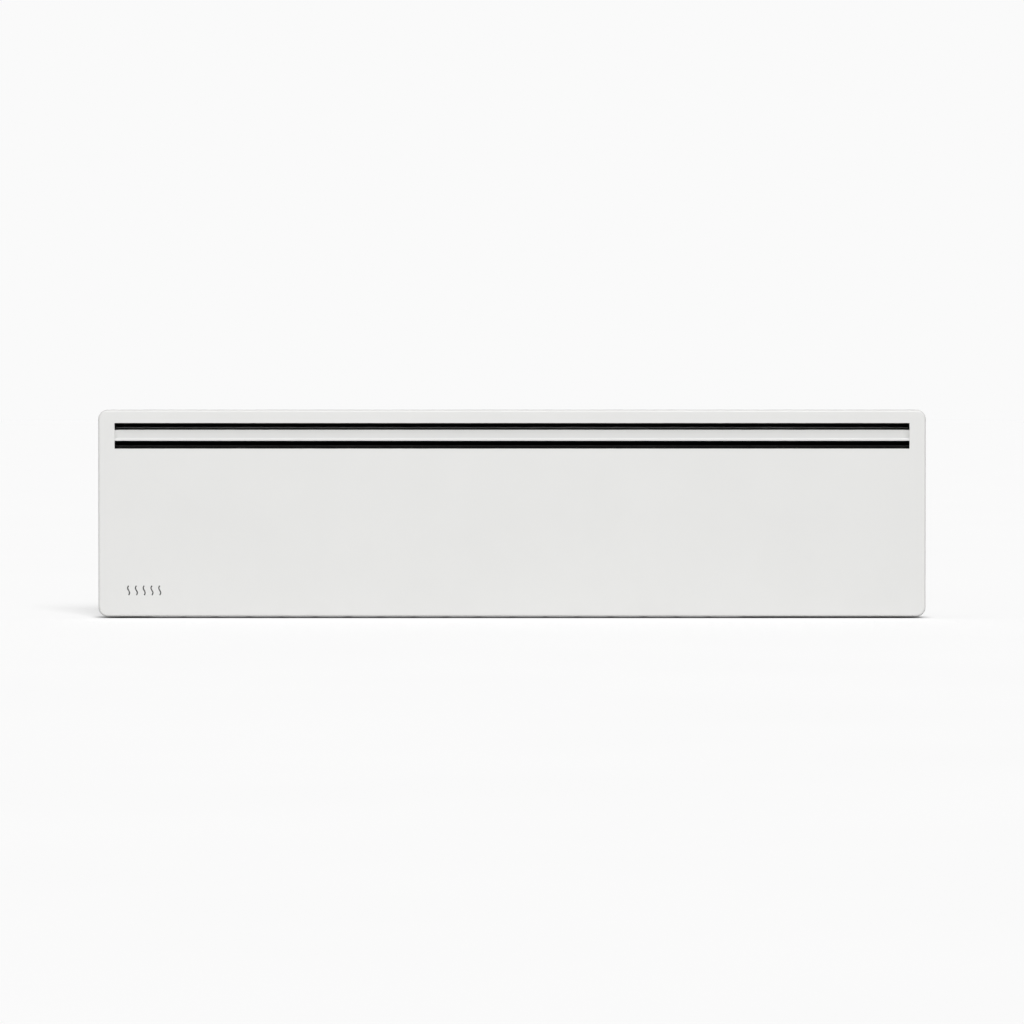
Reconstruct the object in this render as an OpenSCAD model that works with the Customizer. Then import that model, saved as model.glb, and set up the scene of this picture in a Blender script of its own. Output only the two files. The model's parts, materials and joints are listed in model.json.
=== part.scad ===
// Electric baseboard panel heater on its tilting wall bracket, with a plug-in thermostat cassette.
// Millimetres. X runs along the heater, the room is towards -Y, the wall is at +Y, Z is up.
// The origin is the middle of the whole object's base.

/* [Casing] */
// Width of the casing
casing_w = 800; // [780:10:1200]
// Height of the casing
casing_h = 200; // [200:1:206]
// Depth of the casing, from its front face to its rear wall
casing_d = 56; // [56:0.5:57]
// Depth of the front cover, up to its seam with the rear casing
cover_d = 24; // [23:0.5:25]
// Radius of the casing's four corners, seen from the front
corner_r = 9; // [8:0.5:10]
// Outside radius of the folded edges
fold_r = 2; // [1.5:0.25:2.5]
// Sheet thickness of the front cover
cover_t = 1.0; // [0.8:0.1:1.2]
// Sheet thickness of the rear casing
rear_t = 0.8; // [0.7:0.1:1.0]

/* [Air outlet] */
// Distance from the casing's ends to the ends of the outlet slots
outlet_margin = 15.8; // [15.5:0.1:17]
// Distance from the casing's top to the upper slot
outlet_top = 12.9; // [12:0.1:14]
// Height of the upper slot, which the pressed blade partly fills
upper_slot_h = 14.9; // [14:0.1:15]
// Height of the flat lip in front of the blade
blade_lip_h = 2.2; // [2:0.1:3]
// Height of the lower slot
lower_slot_h = 7.6; // [7:0.1:8]
// How far the blade climbs behind the upper slot
blade_rise = 8.5; // [8:0.1:9]
// How far the blade runs back behind the upper slot
blade_run = 8.2; // [7:0.1:9]
// How much shorter the blade is at each end, level with the top of the slot
blade_end_gap = 4.5; // [2:0.5:6]

/* [Wall bracket] */
// Gap between the casing's rear wall and the wall
wall_gap = 28; // [28:0.5:30]
// Distance between the middles of the two bracket arms
arm_spacing = 440; // [420:10:460]
// Width of each bracket arm
arm_w = 24; // [24:1:25]
// Sheet thickness of the bracket
arm_t = 1.5; // [1.2:0.1:1.6]
// Radius of the wall screw holes
wall_hole_r = 2.75; // [2.5:0.25:3]
// Distance between the rail's two slotted screw holes
rail_slot_spacing = 240; // [200:10:280]
// Length of the rail's slotted screw holes
rail_slot_l = 20; // [14:1:24]

/* [Heating element] */
// Radius of the heating element's steel sheath
sheath_r = 4.25; // [4:0.05:4.5]
// Distance between the two legs of the hairpin element
leg_spacing = 32; // [30:1:34]
// Distance from one fin to the next
fin_pitch = 8; // [7:0.5:12]
// Thickness of a fin
fin_t = 0.5; // [0.4:0.1:0.8]

/* [Hidden] */
$fn = 48;
EPS = 0.01;

// Planes of the casing and the wall
half_w = casing_w / 2;
y_front = -(casing_d + wall_gap) / 2;
y_back = y_front + casing_d;
y_wall = y_back + wall_gap;
y_seam = y_front + cover_d;
y_inner_front = y_front + cover_t;
y_inner_back = y_back - rear_t;
mid_z = casing_h / 2;
seam_gap = 0.3;
lip_overlap = 12;

// Outlet heights
outlet_half = half_w - outlet_margin;
upper_top = casing_h - outlet_top;
upper_bottom = upper_top - upper_slot_h;
lower_top = upper_bottom - blade_lip_h;
lower_bottom = lower_top - lower_slot_h;

// Air duct behind the front
shield_t = 0.5;
guide_t = 0.6;
y_shield = y_front + 8;
y_guide = y_back - 7.5;
duct_half = outlet_half + 0.2;
duct_plate_t = 0.8;
guide_arc_z = 150;
guide_arc_r = y_guide + guide_t - y_shield;

// Wiring bay at the right-hand end
bay_x = half_w - 147;
bay_top = 155;

// Heating element
element_y = y_front + 29;
element_z = 62;
leg_low = element_z - leg_spacing / 2;
leg_high = element_z + leg_spacing / 2;
legs_z = [leg_low, leg_high];
bend_x = -half_w + 45;
sheath_end = bay_x + 9;
support_x = [bend_x + 5, bay_x - 15];

// Thermostat cassette and its pocket
pocket_x = half_w - 120;
pocket_y = y_back - 24.8;
pocket_low = 21.2;
pocket_high = 88.8;
pocket_t = 0.8;
cas_x0 = half_w - 116;
cas_x1 = half_w - 8;
cas_y0 = y_back - 23.2;
cas_y1 = y_back + 18;
cas_z0 = 22.6;
cas_z1 = 87.4;
cas_wall = 2;
board_y = cas_y0 + cas_wall + 3;
board_t = 1.6;
rail_y = y_back - 4.6;
blade_zs = [37, 49, 61, 73];
blade_y = y_back - 12;
boss_xz = [[cas_x0 + 6.5, 28.5], [cas_x0 + 6.5, 81.5], [cas_x1 - 25.5, 28.5], [cas_x1 - 6.5, 81.5]];

// Controls on the cassette's end
control_y = y_back - 2.6;
dial_z = 68;
switch_z = 38;
led_y = y_back + 12.5;
led_z = 52;
button_y = y_back - 16.2;
button_z = 50;
rocker_pivot_x = cas_x1 - 3.5;
rocker_rest_angle = -8;

// Hinge and catches between the casing and the wall bracket
hinge_y = y_back + 10;
hinge_z = 34;
pin_r = 3;
hook_r = 7.6;
arm_xs = [-arm_spacing / 2, arm_spacing / 2];
arm_top = 176;
arm_front = y_back + 3;
catch_z = 160;
wall_hole_zs = [60, 140];
rail_low = 92;
rail_high = 128;
rail_tab_y = y_back + 8;
rail_rivets_z = [101, 119];
rail_rivet_y = y_back + 16;

// Fixings
rivet_r = 2;
hole_play = 0.05;
screw_r = 2;
cover_fix_x = half_w - 8;
cover_fix_zs = [14, 150];
bracket_leg_x = half_w - 14.5;
spacer_xs = [-330, -70, 170];
spacer_zs = [36, 136];
hinge_rivet_dx = 5;
hinge_rivet_zs = [25, 45];
pocket_rivet_xs = [half_w - 105, half_w - 30];
pocket_rivet_zs = [pocket_low - 4, pocket_high + 4];
buffer_x = half_w - 70;
buffer_z = 8;
buffer_neck_r = 2.45;
label_x = -half_w + 120;
label_z = 118;

// Parts in the wiring bay
block_x = half_w - 100;
block_z = 112;
pole_pitch = 16;
earth_x = half_w - 115;
earth_z = 120;
gland_x = half_w - 28;
gland_z = 118;
cutout_x = half_w - 108;
cutout_y = y_front + 18;
cutout_z = 146;
cutout_tabs = [8, 20];
capillary_r = 1.25;

// Routes of the inner wires, for a casing 800 wide whose rear wall is at y = 14
wire_r = 1.3;
route_shift = [half_w - 400, y_back - 14, 0];
route_live_in = [[310, 7, 111.4], [309, 5, 103], [298, 1, 97], [280, 0, 95], [264, 0, 92],
                 [257.5, 1, 84], [258, 2, 75], [263.4, 2, 73]];
route_switched = [[263.4, 2, 61], [258.4, 0, 63], [257.8, -5, 72], [258, -5, 90], [266, -10, 104],
                  [284, -20, 116], [300, -24, 124], [300, -24, 130.4]];
route_heater = [[312, -24, 130.4], [312, -26, 118], [308, -28, 100], [300, -28, 76], [292, -24, 58],
                [286, -15, 47], [278.2, -13, 46]];
route_neutral = [[320, 7, 111.4], [320, 4, 104], [316, -8, 98], [304, -16, 94], [292, -15, 84],
                 [284, -13, 78], [278.2, -13, 78]];
route_control = [[328, 7, 111.4], [328, 1, 103], [328, -16, 96], [310, -18, 86], [290, -20, 66],
                 [276, -22, 52], [262, -21, 42], [258.5, -14, 34], [258.5, -4, 36], [259, 1, 44],
                 [263.4, 2, 49]];
route_earth = [[285, 11.7, 124.7], [286, 9, 132], [298, 7, 138], [320, 6, 139], [334, 6, 137],
               [338, 7, 130.6]];

// ---------- helpers ----------

// Box from its lowest and highest corners
module block(low, high) translate(low) cube(high - low);

// A drawing in (x, z) made into a plate from y0 to y0 + t
module plate_y(y0, t) translate([0, y0 + t, 0]) rotate([90, 0, 0]) linear_extrude(t) children();

// A drawing in (y, z) drawn out along X
module bar_x(x0, length) translate([x0, 0, 0]) rotate([90, 0, 90]) linear_extrude(length) children();

// Round bars along X and Y
module rod_x(x0, length, y, z, r) translate([x0, y, z]) rotate([0, 90, 0]) cylinder(h = length, r = r);
module rod_y(x, y0, length, z, r) translate([x, y0, z]) rotate([-90, 0, 0]) cylinder(h = length, r = r);

// Cones along Y, from radius r0 at y0
module cone_y(x, y0, length, z, r0, r1)
    translate([x, y0, z]) rotate([-90, 0, 0]) cylinder(h = length, r1 = r0, r2 = r1);

// Rectangle with rounded corners, centred
module rounded_rect(w, h, r) {
    square([w - 2 * r, h], center = true);
    square([w, h - 2 * r], center = true);
    for (x = [-1, 1], y = [-1, 1]) translate([x * (w / 2 - r), y * (h / 2 - r)]) circle(r);
}

// Slot with round ends, along x
module slot(length, width) {
    square([length - width, width], center = true);
    for (s = [-1, 1]) translate([s * (length - width) / 2, 0]) circle(width / 2);
}

// Section of a rounded edge: a strip r wide whose outer top corner is a quarter circle of radius e
module edge_section(r, e) {
    square([r - e, e]);
    intersection() {
        translate([r - e, 0]) circle(e);
        translate([r - e, 0]) square(e);
    }
}

// Block with rounded corners whose upper edge is rounded all the way round
module rounded_block(w, h, d, r, e) {
    linear_extrude(d - e) rounded_rect(w, h, r);
    translate([0, 0, d - e]) {
        translate([r - w / 2, r - h / 2, 0]) cube([w - 2 * r, h - 2 * r, e]);
        for (turn = [0, 180]) rotate(turn) {
            translate([r - w / 2, h / 2 - r, 0]) rotate([90, 0, 90])
                linear_extrude(w - 2 * r) edge_section(r, e);
            translate([w / 2 - r, h / 2 - r, 0]) rotate([90, 0, 0])
                linear_extrude(h - 2 * r) edge_section(r, e);
            translate([w / 2 - r, h / 2 - r, 0]) rotate_extrude(angle = 90) edge_section(r, e);
            translate([r - w / 2, h / 2 - r, 0]) rotate(90) rotate_extrude(angle = 90) edge_section(r, e);
        }
    }
}

// The same block standing up, rounded at its front or at its rear
module front_block(y0, y1, w, h, r, e)
    translate([0, y1, mid_z]) rotate([90, 0, 0]) rounded_block(w, h, y1 - y0, r, e);
module rear_block(y0, y1, w, h, r, e)
    translate([0, y0, mid_z]) rotate([-90, 0, 0]) rounded_block(w, h, y1 - y0, r, e);

// Outline of a bent strip of thickness t along a middle line
function unit(v) = v / norm(v);
function left_of(v) = [-v[1], v[0]];
function strip_normal(p, i) =
    let (last = len(p) - 1,
         before = unit(i == 0 ? p[1] - p[0] : p[i] - p[i - 1]),
         after = unit(i == last ? p[last] - p[last - 1] : p[i + 1] - p[i]),
         middle = unit(left_of(before) + left_of(after)))
    middle / (middle * left_of(before));
function strip_outline(p, t) = concat(
    [for (i = [0 : len(p) - 1]) p[i] + strip_normal(p, i) * t / 2],
    [for (i = [len(p) - 1 : -1 : 0]) p[i] - strip_normal(p, i) * t / 2]
);

// A smooth line through points, and the tube that follows it
function curve_at(a, b, c, d, t) =
    0.5 * (2 * b + (c - a) * t + (2 * a - 5 * b + 4 * c - d) * t * t + (3 * b - a - 3 * c + d) * t * t * t);
function smooth_line(p, steps) = let (last = len(p) - 1) concat(
    [for (i = [0 : last - 1], k = [0 : steps - 1])
        curve_at(p[max(i - 1, 0)], p[i], p[i + 1], p[min(i + 2, last)], k / steps)],
    [p[last]]
);
function tangent(p, i) = unit(p[min(i + 1, len(p) - 1)] - p[max(i - 1, 0)]);
function carried(v, t) = unit(v - (v * t) * t);
function side_vectors(p, v, i = 0) = i == len(p) ? [] :
    let (n = carried(v, tangent(p, i))) concat([n], side_vectors(p, n, i + 1));
function tube_points(p, r, sides, first) =
    let (n = side_vectors(p, first))
    [for (i = [0 : len(p) - 1], k = [0 : sides - 1])
        let (b = cross(tangent(p, i), n[i]), a = 360 * k / sides)
        p[i] + r * (cos(a) * n[i] + sin(a) * b)];
function tube_faces(rings, sides) = concat(
    [[for (k = [sides - 1 : -1 : 0]) k]],
    [for (i = [0 : rings - 2], k = [0 : sides - 1])
        [i * sides + k, i * sides + (k + 1) % sides, (i + 1) * sides + (k + 1) % sides, (i + 1) * sides + k]],
    [[for (k = [0 : sides - 1]) (rings - 1) * sides + k]]
);
function turned(face) = [for (k = [len(face) - 1 : -1 : 0]) face[k]];
module tube(p, r, sides = 8, first = [0.3, 0.9, 0.2])
    polyhedron(points = tube_points(p, r, sides, first),
               faces = [for (face = tube_faces(len(p), sides)) turned(face)]);
module wire(route) tube(smooth_line([for (p = route) p + route_shift], 4), wire_r);

// Rivet along Y: its head stands on y0 towards dir, its shank runs the other way and is closed with a tail
module rivet_y(x, z, y0, dir, grip) {
    head_h = 1.3;
    tail_h = 1.2;
    translate([x, y0, z]) rotate([-90 * dir, 0, 0]) {
        cylinder(h = head_h, r1 = 1.7 * rivet_r, r2 = 1.1 * rivet_r);
        translate([0, 0, -grip]) cylinder(h = grip + EPS, r = rivet_r);
        translate([0, 0, -grip - tail_h]) cylinder(h = tail_h, r = 1.4 * rivet_r);
    }
}

// Pan-head screw along Y with a cross recess, its head on y0 towards dir
module screw_y(x, z, y0, dir, length, r) {
    head_r = 2 * r;
    head_h = 1.2 * r;
    translate([x, y0, z]) rotate([-90 * dir, 0, 0]) difference() {
        union() {
            cylinder(h = head_h * 0.6, r = head_r);
            translate([0, 0, head_h * 0.6]) cylinder(h = head_h * 0.4, r1 = head_r, r2 = head_r * 0.72);
            translate([0, 0, -length]) cylinder(h = length + EPS, r = r);
        }
        for (a = [0, 90]) rotate(a) translate([-head_r * 0.55, -r * 0.16, head_h * 0.35])
            cube([head_r * 1.1, r * 0.32, head_h]);
    }
}

// Hexagonal bar and nut along Y
module hexagon_y(x, y0, thickness, z, across_flats)
    translate([x, y0 + thickness, z]) rotate([90, 0, 0])
        cylinder(h = thickness, r = across_flats / sqrt(3), $fn = 6);
module nut_y(x, z, y0, thickness, across_flats, bore_r) difference() {
    hexagon_y(x, y0, thickness, z, across_flats);
    rod_y(x, y0 - 1, thickness + 2, z, bore_r);
}

// ---------- wall bracket ----------

// Section of an arm's side wall in (y, z): a hook at its foot that carries the hinge pin
module arm_side_section() {
    difference() {
        union() {
            translate([hinge_y, hinge_z]) circle(hook_r);
            translate([hinge_y, hinge_z - hook_r]) square([y_wall - hinge_y, hook_r]);
            translate([hinge_y - hook_r, hinge_z]) square([hook_r - pin_r, 5]);
            translate([hinge_y + pin_r, hinge_z]) square([y_wall - hinge_y - pin_r, arm_top - hinge_z]);
            translate([arm_front, hinge_z + 24]) square([y_wall - arm_front, arm_top - hinge_z - 24]);
        }
        translate([hinge_y, hinge_z]) circle(pin_r + 0.06);
        translate([hinge_y - pin_r - 0.06, hinge_z]) square([2 * pin_r + 0.12, 24]);
    }
}

module bracket_arm(x) {
    rivet_hole_r = rivet_r + hole_play;
    color("silver") difference() {
        union() {
            for (s = [-1, 1]) bar_x(x + s * (arm_w - arm_t) / 2 - arm_t / 2, arm_t) arm_side_section();
            block([x - arm_w / 2, y_wall - arm_t, hinge_z - hook_r], [x + arm_w / 2, y_wall, arm_top]);
        }
        for (z = wall_hole_zs) rod_y(x, y_wall - arm_t - 1, arm_t + 2, z, wall_hole_r);
        rod_y(x, y_wall - arm_t - 1, arm_t + 2, catch_z, rivet_hole_r);
        for (z = rail_rivets_z)
            rod_x(x - sign(x) * arm_w / 2 - 2 * arm_t, 4 * arm_t, rail_rivet_y, z, rivet_hole_r);
    }
}

module bracket_rail() {
    end = arm_spacing / 2 - arm_w / 2;
    rail_lip = 8;
    color("silver") difference() {
        union() {
            block([-end, y_wall - arm_t, rail_low], [end, y_wall, rail_high]);
            block([-end, y_wall - rail_lip, rail_low], [end, y_wall, rail_low + arm_t]);
            block([-end, y_wall - rail_lip, rail_high - arm_t], [end, y_wall, rail_high]);
            for (s = [-1, 1])
                block([s > 0 ? end - arm_t : -end, rail_tab_y, rail_low],
                      [s > 0 ? end : arm_t - end, y_wall, rail_high]);
        }
        for (s = [-1, 1], z = rail_rivets_z)
            rod_x(s * end - 2 * arm_t, 4 * arm_t, rail_rivet_y, z, rivet_r + hole_play);
        for (s = [-1, 1]) plate_y(y_wall - arm_t - 1, arm_t + 2)
            translate([s * rail_slot_spacing / 2, (rail_low + rail_high) / 2])
                slot(rail_slot_l, 2 * wall_hole_r);
    }
}

module bracket_rivets() {
    end = arm_spacing / 2 - arm_w / 2;
    color("dimgray") {
        for (s = [-1, 1], z = rail_rivets_z) translate([s * end, rail_rivet_y, z]) rotate([0, 90, 0]) {
            translate([0, 0, -arm_t]) cylinder(h = 2 * arm_t, r = rivet_r);
            translate([0, 0, arm_t]) cylinder(h = 1.2, r1 = 1.6 * rivet_r, r2 = rivet_r);
            translate([0, 0, -arm_t - 1.2]) cylinder(h = 1.2, r1 = rivet_r, r2 = 1.6 * rivet_r);
        }
        for (x = arm_xs) translate([x, y_wall - arm_t - 0.8, catch_z]) rotate([90, 0, 0]) {
            cylinder(h = 1.3, r1 = 1.7 * rivet_r, r2 = 1.1 * rivet_r);
            translate([0, 0, -arm_t - 0.8]) cylinder(h = arm_t + 0.8, r = rivet_r);
        }
    }
}

// Spring clip that grips a catch stud
module spring_clips() {
    clip_t = 0.8;
    back = y_wall - arm_t - clip_t / 2;
    leaf = [[y_back + 2.8, 6], [y_back + 5, 3.3], [y_back + 8, 6.8], [y_back + 16, 7.2], [back, 7.2]];
    path = concat([for (p = leaf) [p[0], catch_z - p[1]]],
                  [for (i = [len(leaf) - 1 : -1 : 0]) [leaf[i][0], catch_z + leaf[i][1]]]);
    color("lightsteelblue") for (x = arm_xs) difference() {
        bar_x(x - 7, 14) polygon(strip_outline(path, clip_t));
        rod_y(x, back - 2, 4, catch_z, rivet_r + hole_play);
    }
}

// ---------- casing ----------

// Section of the blade and its flat lip in (y, z)
module blade_section() {
    slope = unit([blade_run, blade_rise]);
    behind = cover_t * [slope[1], -slope[0]];
    foot = [y_front, upper_bottom];
    tip = foot + [blade_run, blade_rise];
    inner_corner = [y_inner_front, upper_bottom - cover_t * (1 - slope[1]) / slope[0]];
    polygon([[y_front, lower_top], foot, tip, tip + behind, inner_corner, [y_inner_front, lower_top]]);
}

// The blade and lip along the outlet; the blade's free ends are cut back at a slant
module outlet_blade() intersection() {
    bar_x(-outlet_half, 2 * outlet_half) blade_section();
    plate_y(y_front - 1, blade_run + 4) polygon([
        [-outlet_half, lower_top - 1], [outlet_half, lower_top - 1], [outlet_half, upper_bottom],
        [outlet_half - blade_end_gap, upper_top], [blade_end_gap - outlet_half, upper_top],
        [-outlet_half, upper_bottom]]);
}

// The front sheet as pressed, before the blade
module cover_pan() difference() {
    front_block(y_front, y_seam, casing_w, casing_h, corner_r, fold_r);
    front_block(y_inner_front, y_seam + 1, casing_w - 2 * cover_t, casing_h - 2 * cover_t,
                corner_r - cover_t, fold_r - cover_t);
    block([-outlet_half, y_front - 1, lower_bottom], [outlet_half, y_inner_front + 1, upper_top]);
}

module between_outlet_ends()
    block([-outlet_half, y_front - 1, -1], [outlet_half, y_seam + 1, casing_h + 1]);

// Front sheet between the outlet's ends: the band above the outlet, the blade in it and the panel below
module front_cover() color("whitesmoke") {
    intersection() {
        cover_pan();
        between_outlet_ends();
    }
    outlet_blade();
}

// The same sheet beyond the outlet's ends, which joins band, blade and panel
module cover_ends() color("whitesmoke") difference() {
    cover_pan();
    between_outlet_ends();
}

// Printed mark: a row of upright heat waves
module front_mark() {
    wave_h = 9.2;
    wave_w = 1.1;
    swing = 1.2;
    steps = 16;
    color("dimgray") for (i = [0 : 4]) plate_y(y_front - 0.05, 0.05)
        translate([-half_w + 29.5 + 7.4 * i, 20.7]) polygon(concat(
            [for (k = [0 : steps]) [swing * sin(360 * k / steps) - wave_w / 2, wave_h * k / steps]],
            [for (k = [steps : -1 : 0]) [swing * sin(360 * k / steps) + wave_w / 2, wave_h * k / steps]]));
}

module rear_casing() {
    lip_w = casing_w - 2 * cover_t - 0.6;
    lip_h = casing_h - 2 * cover_t - 0.6;
    lip_r = corner_r - cover_t - 0.3;
    y0 = y_seam + seam_gap;
    color("gainsboro") difference() {
        union() {
            rear_block(y0, y_back, casing_w, casing_h, corner_r, fold_r);
            plate_y(y_seam - lip_overlap, lip_overlap + 1) translate([0, mid_z])
                rounded_rect(lip_w, lip_h, lip_r);
            for (z = [70, 150]) plate_y(y_back, 1.2) translate([0, z]) slot(370, 9);
        }
        rear_block(y0 + rear_t, y_inner_back, casing_w - 2 * rear_t, casing_h - 2 * rear_t,
                   corner_r - rear_t, fold_r - rear_t);
        plate_y(y_seam - lip_overlap - 1, lip_overlap + 4) translate([0, mid_z])
            rounded_rect(lip_w - 2 * rear_t, lip_h - 2 * rear_t, lip_r - rear_t);
        inlet_cut = [y_seam + 4, y_back - 5];
        block([-half_w + 32, inlet_cut[0], -1], [bay_x - 13, inlet_cut[1], 1.2]);
        block([pocket_x, y_back - 24, pocket_low + pocket_t],
              [half_w + 1, y_back + 1, pocket_high - pocket_t]);
        rear_wall_holes();
    }
}

// Every hole through the rear wall
module rear_wall_holes() {
    through = rear_t + 4;
    y0 = y_inner_back - 1;
    for (s = [-1, 1], z = cover_fix_zs) rod_y(s * cover_fix_x, y0, through, z, screw_r + 0.1);
    for (x = spacer_xs, z = spacer_zs) rod_y(x, y0, through, z, rivet_r + hole_play);
    for (x = arm_xs, s = [-1, 1], z = hinge_rivet_zs)
        rod_y(x + s * hinge_rivet_dx, y0, through, z, rivet_r + hole_play);
    for (x = arm_xs) rod_y(x, y0, through, catch_z, rivet_r + hole_play);
    for (x = pocket_rivet_xs, z = pocket_rivet_zs) rod_y(x, y0, through, z, rivet_r + hole_play);
    for (s = [-1, 1]) rod_y(s * buffer_x, y0, through, buffer_z, buffer_neck_r + hole_play);
    rod_y(gland_x, y0, through, gland_z, 8.1);
}

module inlet_grille() {
    slot_l = 28;
    slot_pitch = 32;
    x0 = -half_w + 29;
    x1 = bay_x - 10;
    count = floor((x1 - x0 - 8) / slot_pitch);
    first = (x0 + x1 - (count - 1) * slot_pitch) / 2;
    color("gainsboro") difference() {
        block([x0, y_seam + 2, rear_t], [x1, y_back - 2, 2 * rear_t]);
        for (i = [0 : count - 1], y = [y_seam + 8, y_seam + 15, y_seam + 22])
            translate([first + i * slot_pitch, y, 0]) linear_extrude(3) slot(slot_l, 4.6);
    }
}

module rating_label() color("silver")
    plate_y(y_back, 0.15) translate([label_x, label_z]) rounded_rect(84, 44, 2);

// Rubber stops pushed through the rear wall
module rear_buffers() color("dimgray") for (x = [-buffer_x, buffer_x]) {
    rod_y(x, y_back, 4, buffer_z, 5.5);
    cone_y(x, y_back + 4, 2, buffer_z, 5.5, 4);
    rod_y(x, y_inner_back, rear_t + EPS, buffer_z, buffer_neck_r);
    cone_y(x, y_inner_back - 1.6, 1.6, buffer_z, buffer_neck_r, 3.6);
}

// Straps that hold the front cover to the rear wall
module cover_brackets() {
    foot = 12;
    t = 1;
    x = bracket_leg_x;
    color("silver") for (side = [0, 1], z = cover_fix_zs) mirror([side, 0, 0]) difference() {
        union() {
            block([x, y_inner_front, z - foot / 2], [x + foot, y_inner_front + t, z + foot / 2]);
            block([x, y_inner_front, z - foot / 2], [x + t, y_inner_back, z + foot / 2]);
            block([x, y_inner_back - t, z - foot / 2], [x + foot, y_inner_back, z + foot / 2]);
        }
        rod_y(cover_fix_x, y_inner_back - 2, 4, z, screw_r + 0.1);
    }
}

module cover_screws() color("dimgray")
    for (s = [-1, 1], z = cover_fix_zs) screw_y(s * cover_fix_x, z, y_back, 1, 8, screw_r);

// Nuts of the cover straps, and the one that clamps the earth ring
module hex_nuts() color("silver") {
    bore_r = screw_r + hole_play;
    for (s = [-1, 1], z = cover_fix_zs) nut_y(s * cover_fix_x, z, y_inner_back - 4.2, 3.2, 7, bore_r);
    nut_y(earth_x, earth_z, y_inner_back - 5.3, 3.2, 7, bore_r);
}

// ---------- air duct ----------

module front_heat_shield() {
    top = lower_bottom + 2.8;
    color("darkgray") {
        bar_x(-duct_half, duct_half + bay_x) {
            translate([y_shield, 8]) square([shield_t, 142]);
            translate([y_shield, 8]) square([4.5, shield_t]);
        }
        bar_x(-duct_half, 2 * duct_half) {
            translate([y_shield, 149]) square([shield_t, top - 149]);
            translate([y_shield - 5, top - shield_t]) square([5 + shield_t, shield_t]);
        }
    }
}

// Rear wall of the duct, which curls forward over the outlet
module rear_air_guide() {
    centre_y = y_guide + guide_t - guide_arc_r;
    color("darkgray") difference() {
        union() {
            bar_x(-duct_half, duct_half + bay_x) translate([y_guide, 18]) square([guide_t, guide_arc_z - 18]);
            bar_x(-duct_half, 2 * duct_half) {
                intersection() {
                    difference() {
                        translate([centre_y, guide_arc_z]) circle(guide_arc_r);
                        translate([centre_y, guide_arc_z]) circle(guide_arc_r - guide_t);
                    }
                    translate([centre_y, guide_arc_z]) square(guide_arc_r + 1);
                }
                translate([centre_y - 5, guide_arc_z + guide_arc_r - guide_t]) square([5, guide_t]);
            }
        }
        for (x = spacer_xs, z = spacer_zs) rod_y(x, y_guide - 1, 3, z, rivet_r + hole_play);
        for (x = support_x, z = [28, 100]) rod_y(x + 6, y_guide - 1, 3, z, rivet_r + hole_play);
    }
}

module guide_spacers() color("silver") for (x = spacer_xs, z = spacer_zs) difference() {
    rod_y(x, y_guide + guide_t, y_inner_back - y_guide - guide_t, z, 4.5);
    rod_y(x, y_guide, y_back - y_guide, z, rivet_r + hole_play);
}

module casing_rivets() {
    wall_grip = rear_t + 1.5;
    guide_grip = y_back - y_guide;
    color("dimgray") {
        for (x = spacer_xs, z = spacer_zs) rivet_y(x, z, y_back, 1, guide_grip);
        for (x = arm_xs, s = [-1, 1], z = hinge_rivet_zs)
            rivet_y(x + s * hinge_rivet_dx, z, y_back + 1.5, 1, wall_grip);
        for (x = pocket_rivet_xs, z = pocket_rivet_zs)
            rivet_y(x, z, y_back, 1, rear_t + pocket_t);
        for (x = support_x, z = [28, 100]) rivet_y(x + 6, z, y_guide + guide_t, 1, guide_t + 1);
    }
}

// Second louvre inside the duct, behind the pressed blade
module inner_louvre() {
    foot = [y_front + 15, upper_bottom + 1];
    tip = foot + [9.5, 10.4];
    color("darkgray") bar_x(-duct_half, 2 * duct_half)
        polygon(strip_outline([foot - [0, 4], foot, tip], shield_t));
}

module duct_end_plates() {
    depth = [y_inner_front + 0.6, y_guide + guide_t];
    color("darkgray") {
        block([-duct_half - duct_plate_t, depth[0], 8], [-duct_half, depth[1], 192]);
        block([duct_half, depth[0], bay_top + 1], [duct_half + duct_plate_t, depth[1], 192]);
    }
}

// Plate and lid that part the wiring bay from the hot side
module wiring_partition() {
    t = 1;
    y0 = y_shield + shield_t;
    color("silver") difference() {
        union() {
            block([bay_x, y0, 8], [bay_x + t, y_inner_back, bay_top + t]);
            block([bay_x, y0, bay_top], [duct_half, y_guide - 1, bay_top + t]);
        }
        block([bay_x - 1, y_guide - 0.7, 148], [bay_x + t + 1, y_back, bay_top + 2]);
        for (z = legs_z) rod_x(bay_x - 1, t + 2, element_y, z, sheath_r + 2.6);
        rod_x(bay_x - 1, t + 2, cutout_y, cutout_z, capillary_r + 0.6);
    }
}

// ---------- heating element ----------

module element_sheath() color("slategray") {
    for (z = legs_z) rod_x(bend_x, sheath_end - bend_x, element_y, z, sheath_r);
    translate([bend_x, element_y, element_z]) rotate([90, 0, 0]) rotate(90)
        rotate_extrude(angle = 180) translate([leg_spacing / 2, 0]) circle(sheath_r);
}

module element_fins() {
    x0 = support_x[0] + 14;
    count = floor((support_x[1] - 4 - x0) / fin_pitch);
    color("lightgray") for (i = [0 : count]) difference() {
        bar_x(x0 + i * fin_pitch, fin_t) translate([element_y, element_z]) rounded_rect(34, 66, 4);
        for (z = legs_z) rod_x(x0 + i * fin_pitch - 1, fin_t + 2, element_y, z, sheath_r + 0.02);
    }
}

// Threaded pins with push-on tabs
module element_terminals() color("silver") for (z = legs_z) {
    rod_x(sheath_end, 9, element_y, z, 1.5);
    block([sheath_end + 8, element_y - 0.4, z - 3.15], [sheath_end + 15.8, element_y + 0.4, z + 3.15]);
}

module element_insulators() color("ivory") for (z = legs_z) difference() {
    union() {
        rod_x(sheath_end, 2.5, element_y, z, 4.2);
        rod_x(sheath_end, 5.5, element_y, z, 2.8);
    }
    rod_x(sheath_end - 1, 8, element_y, z, 1.5 + hole_play);
}

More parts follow.
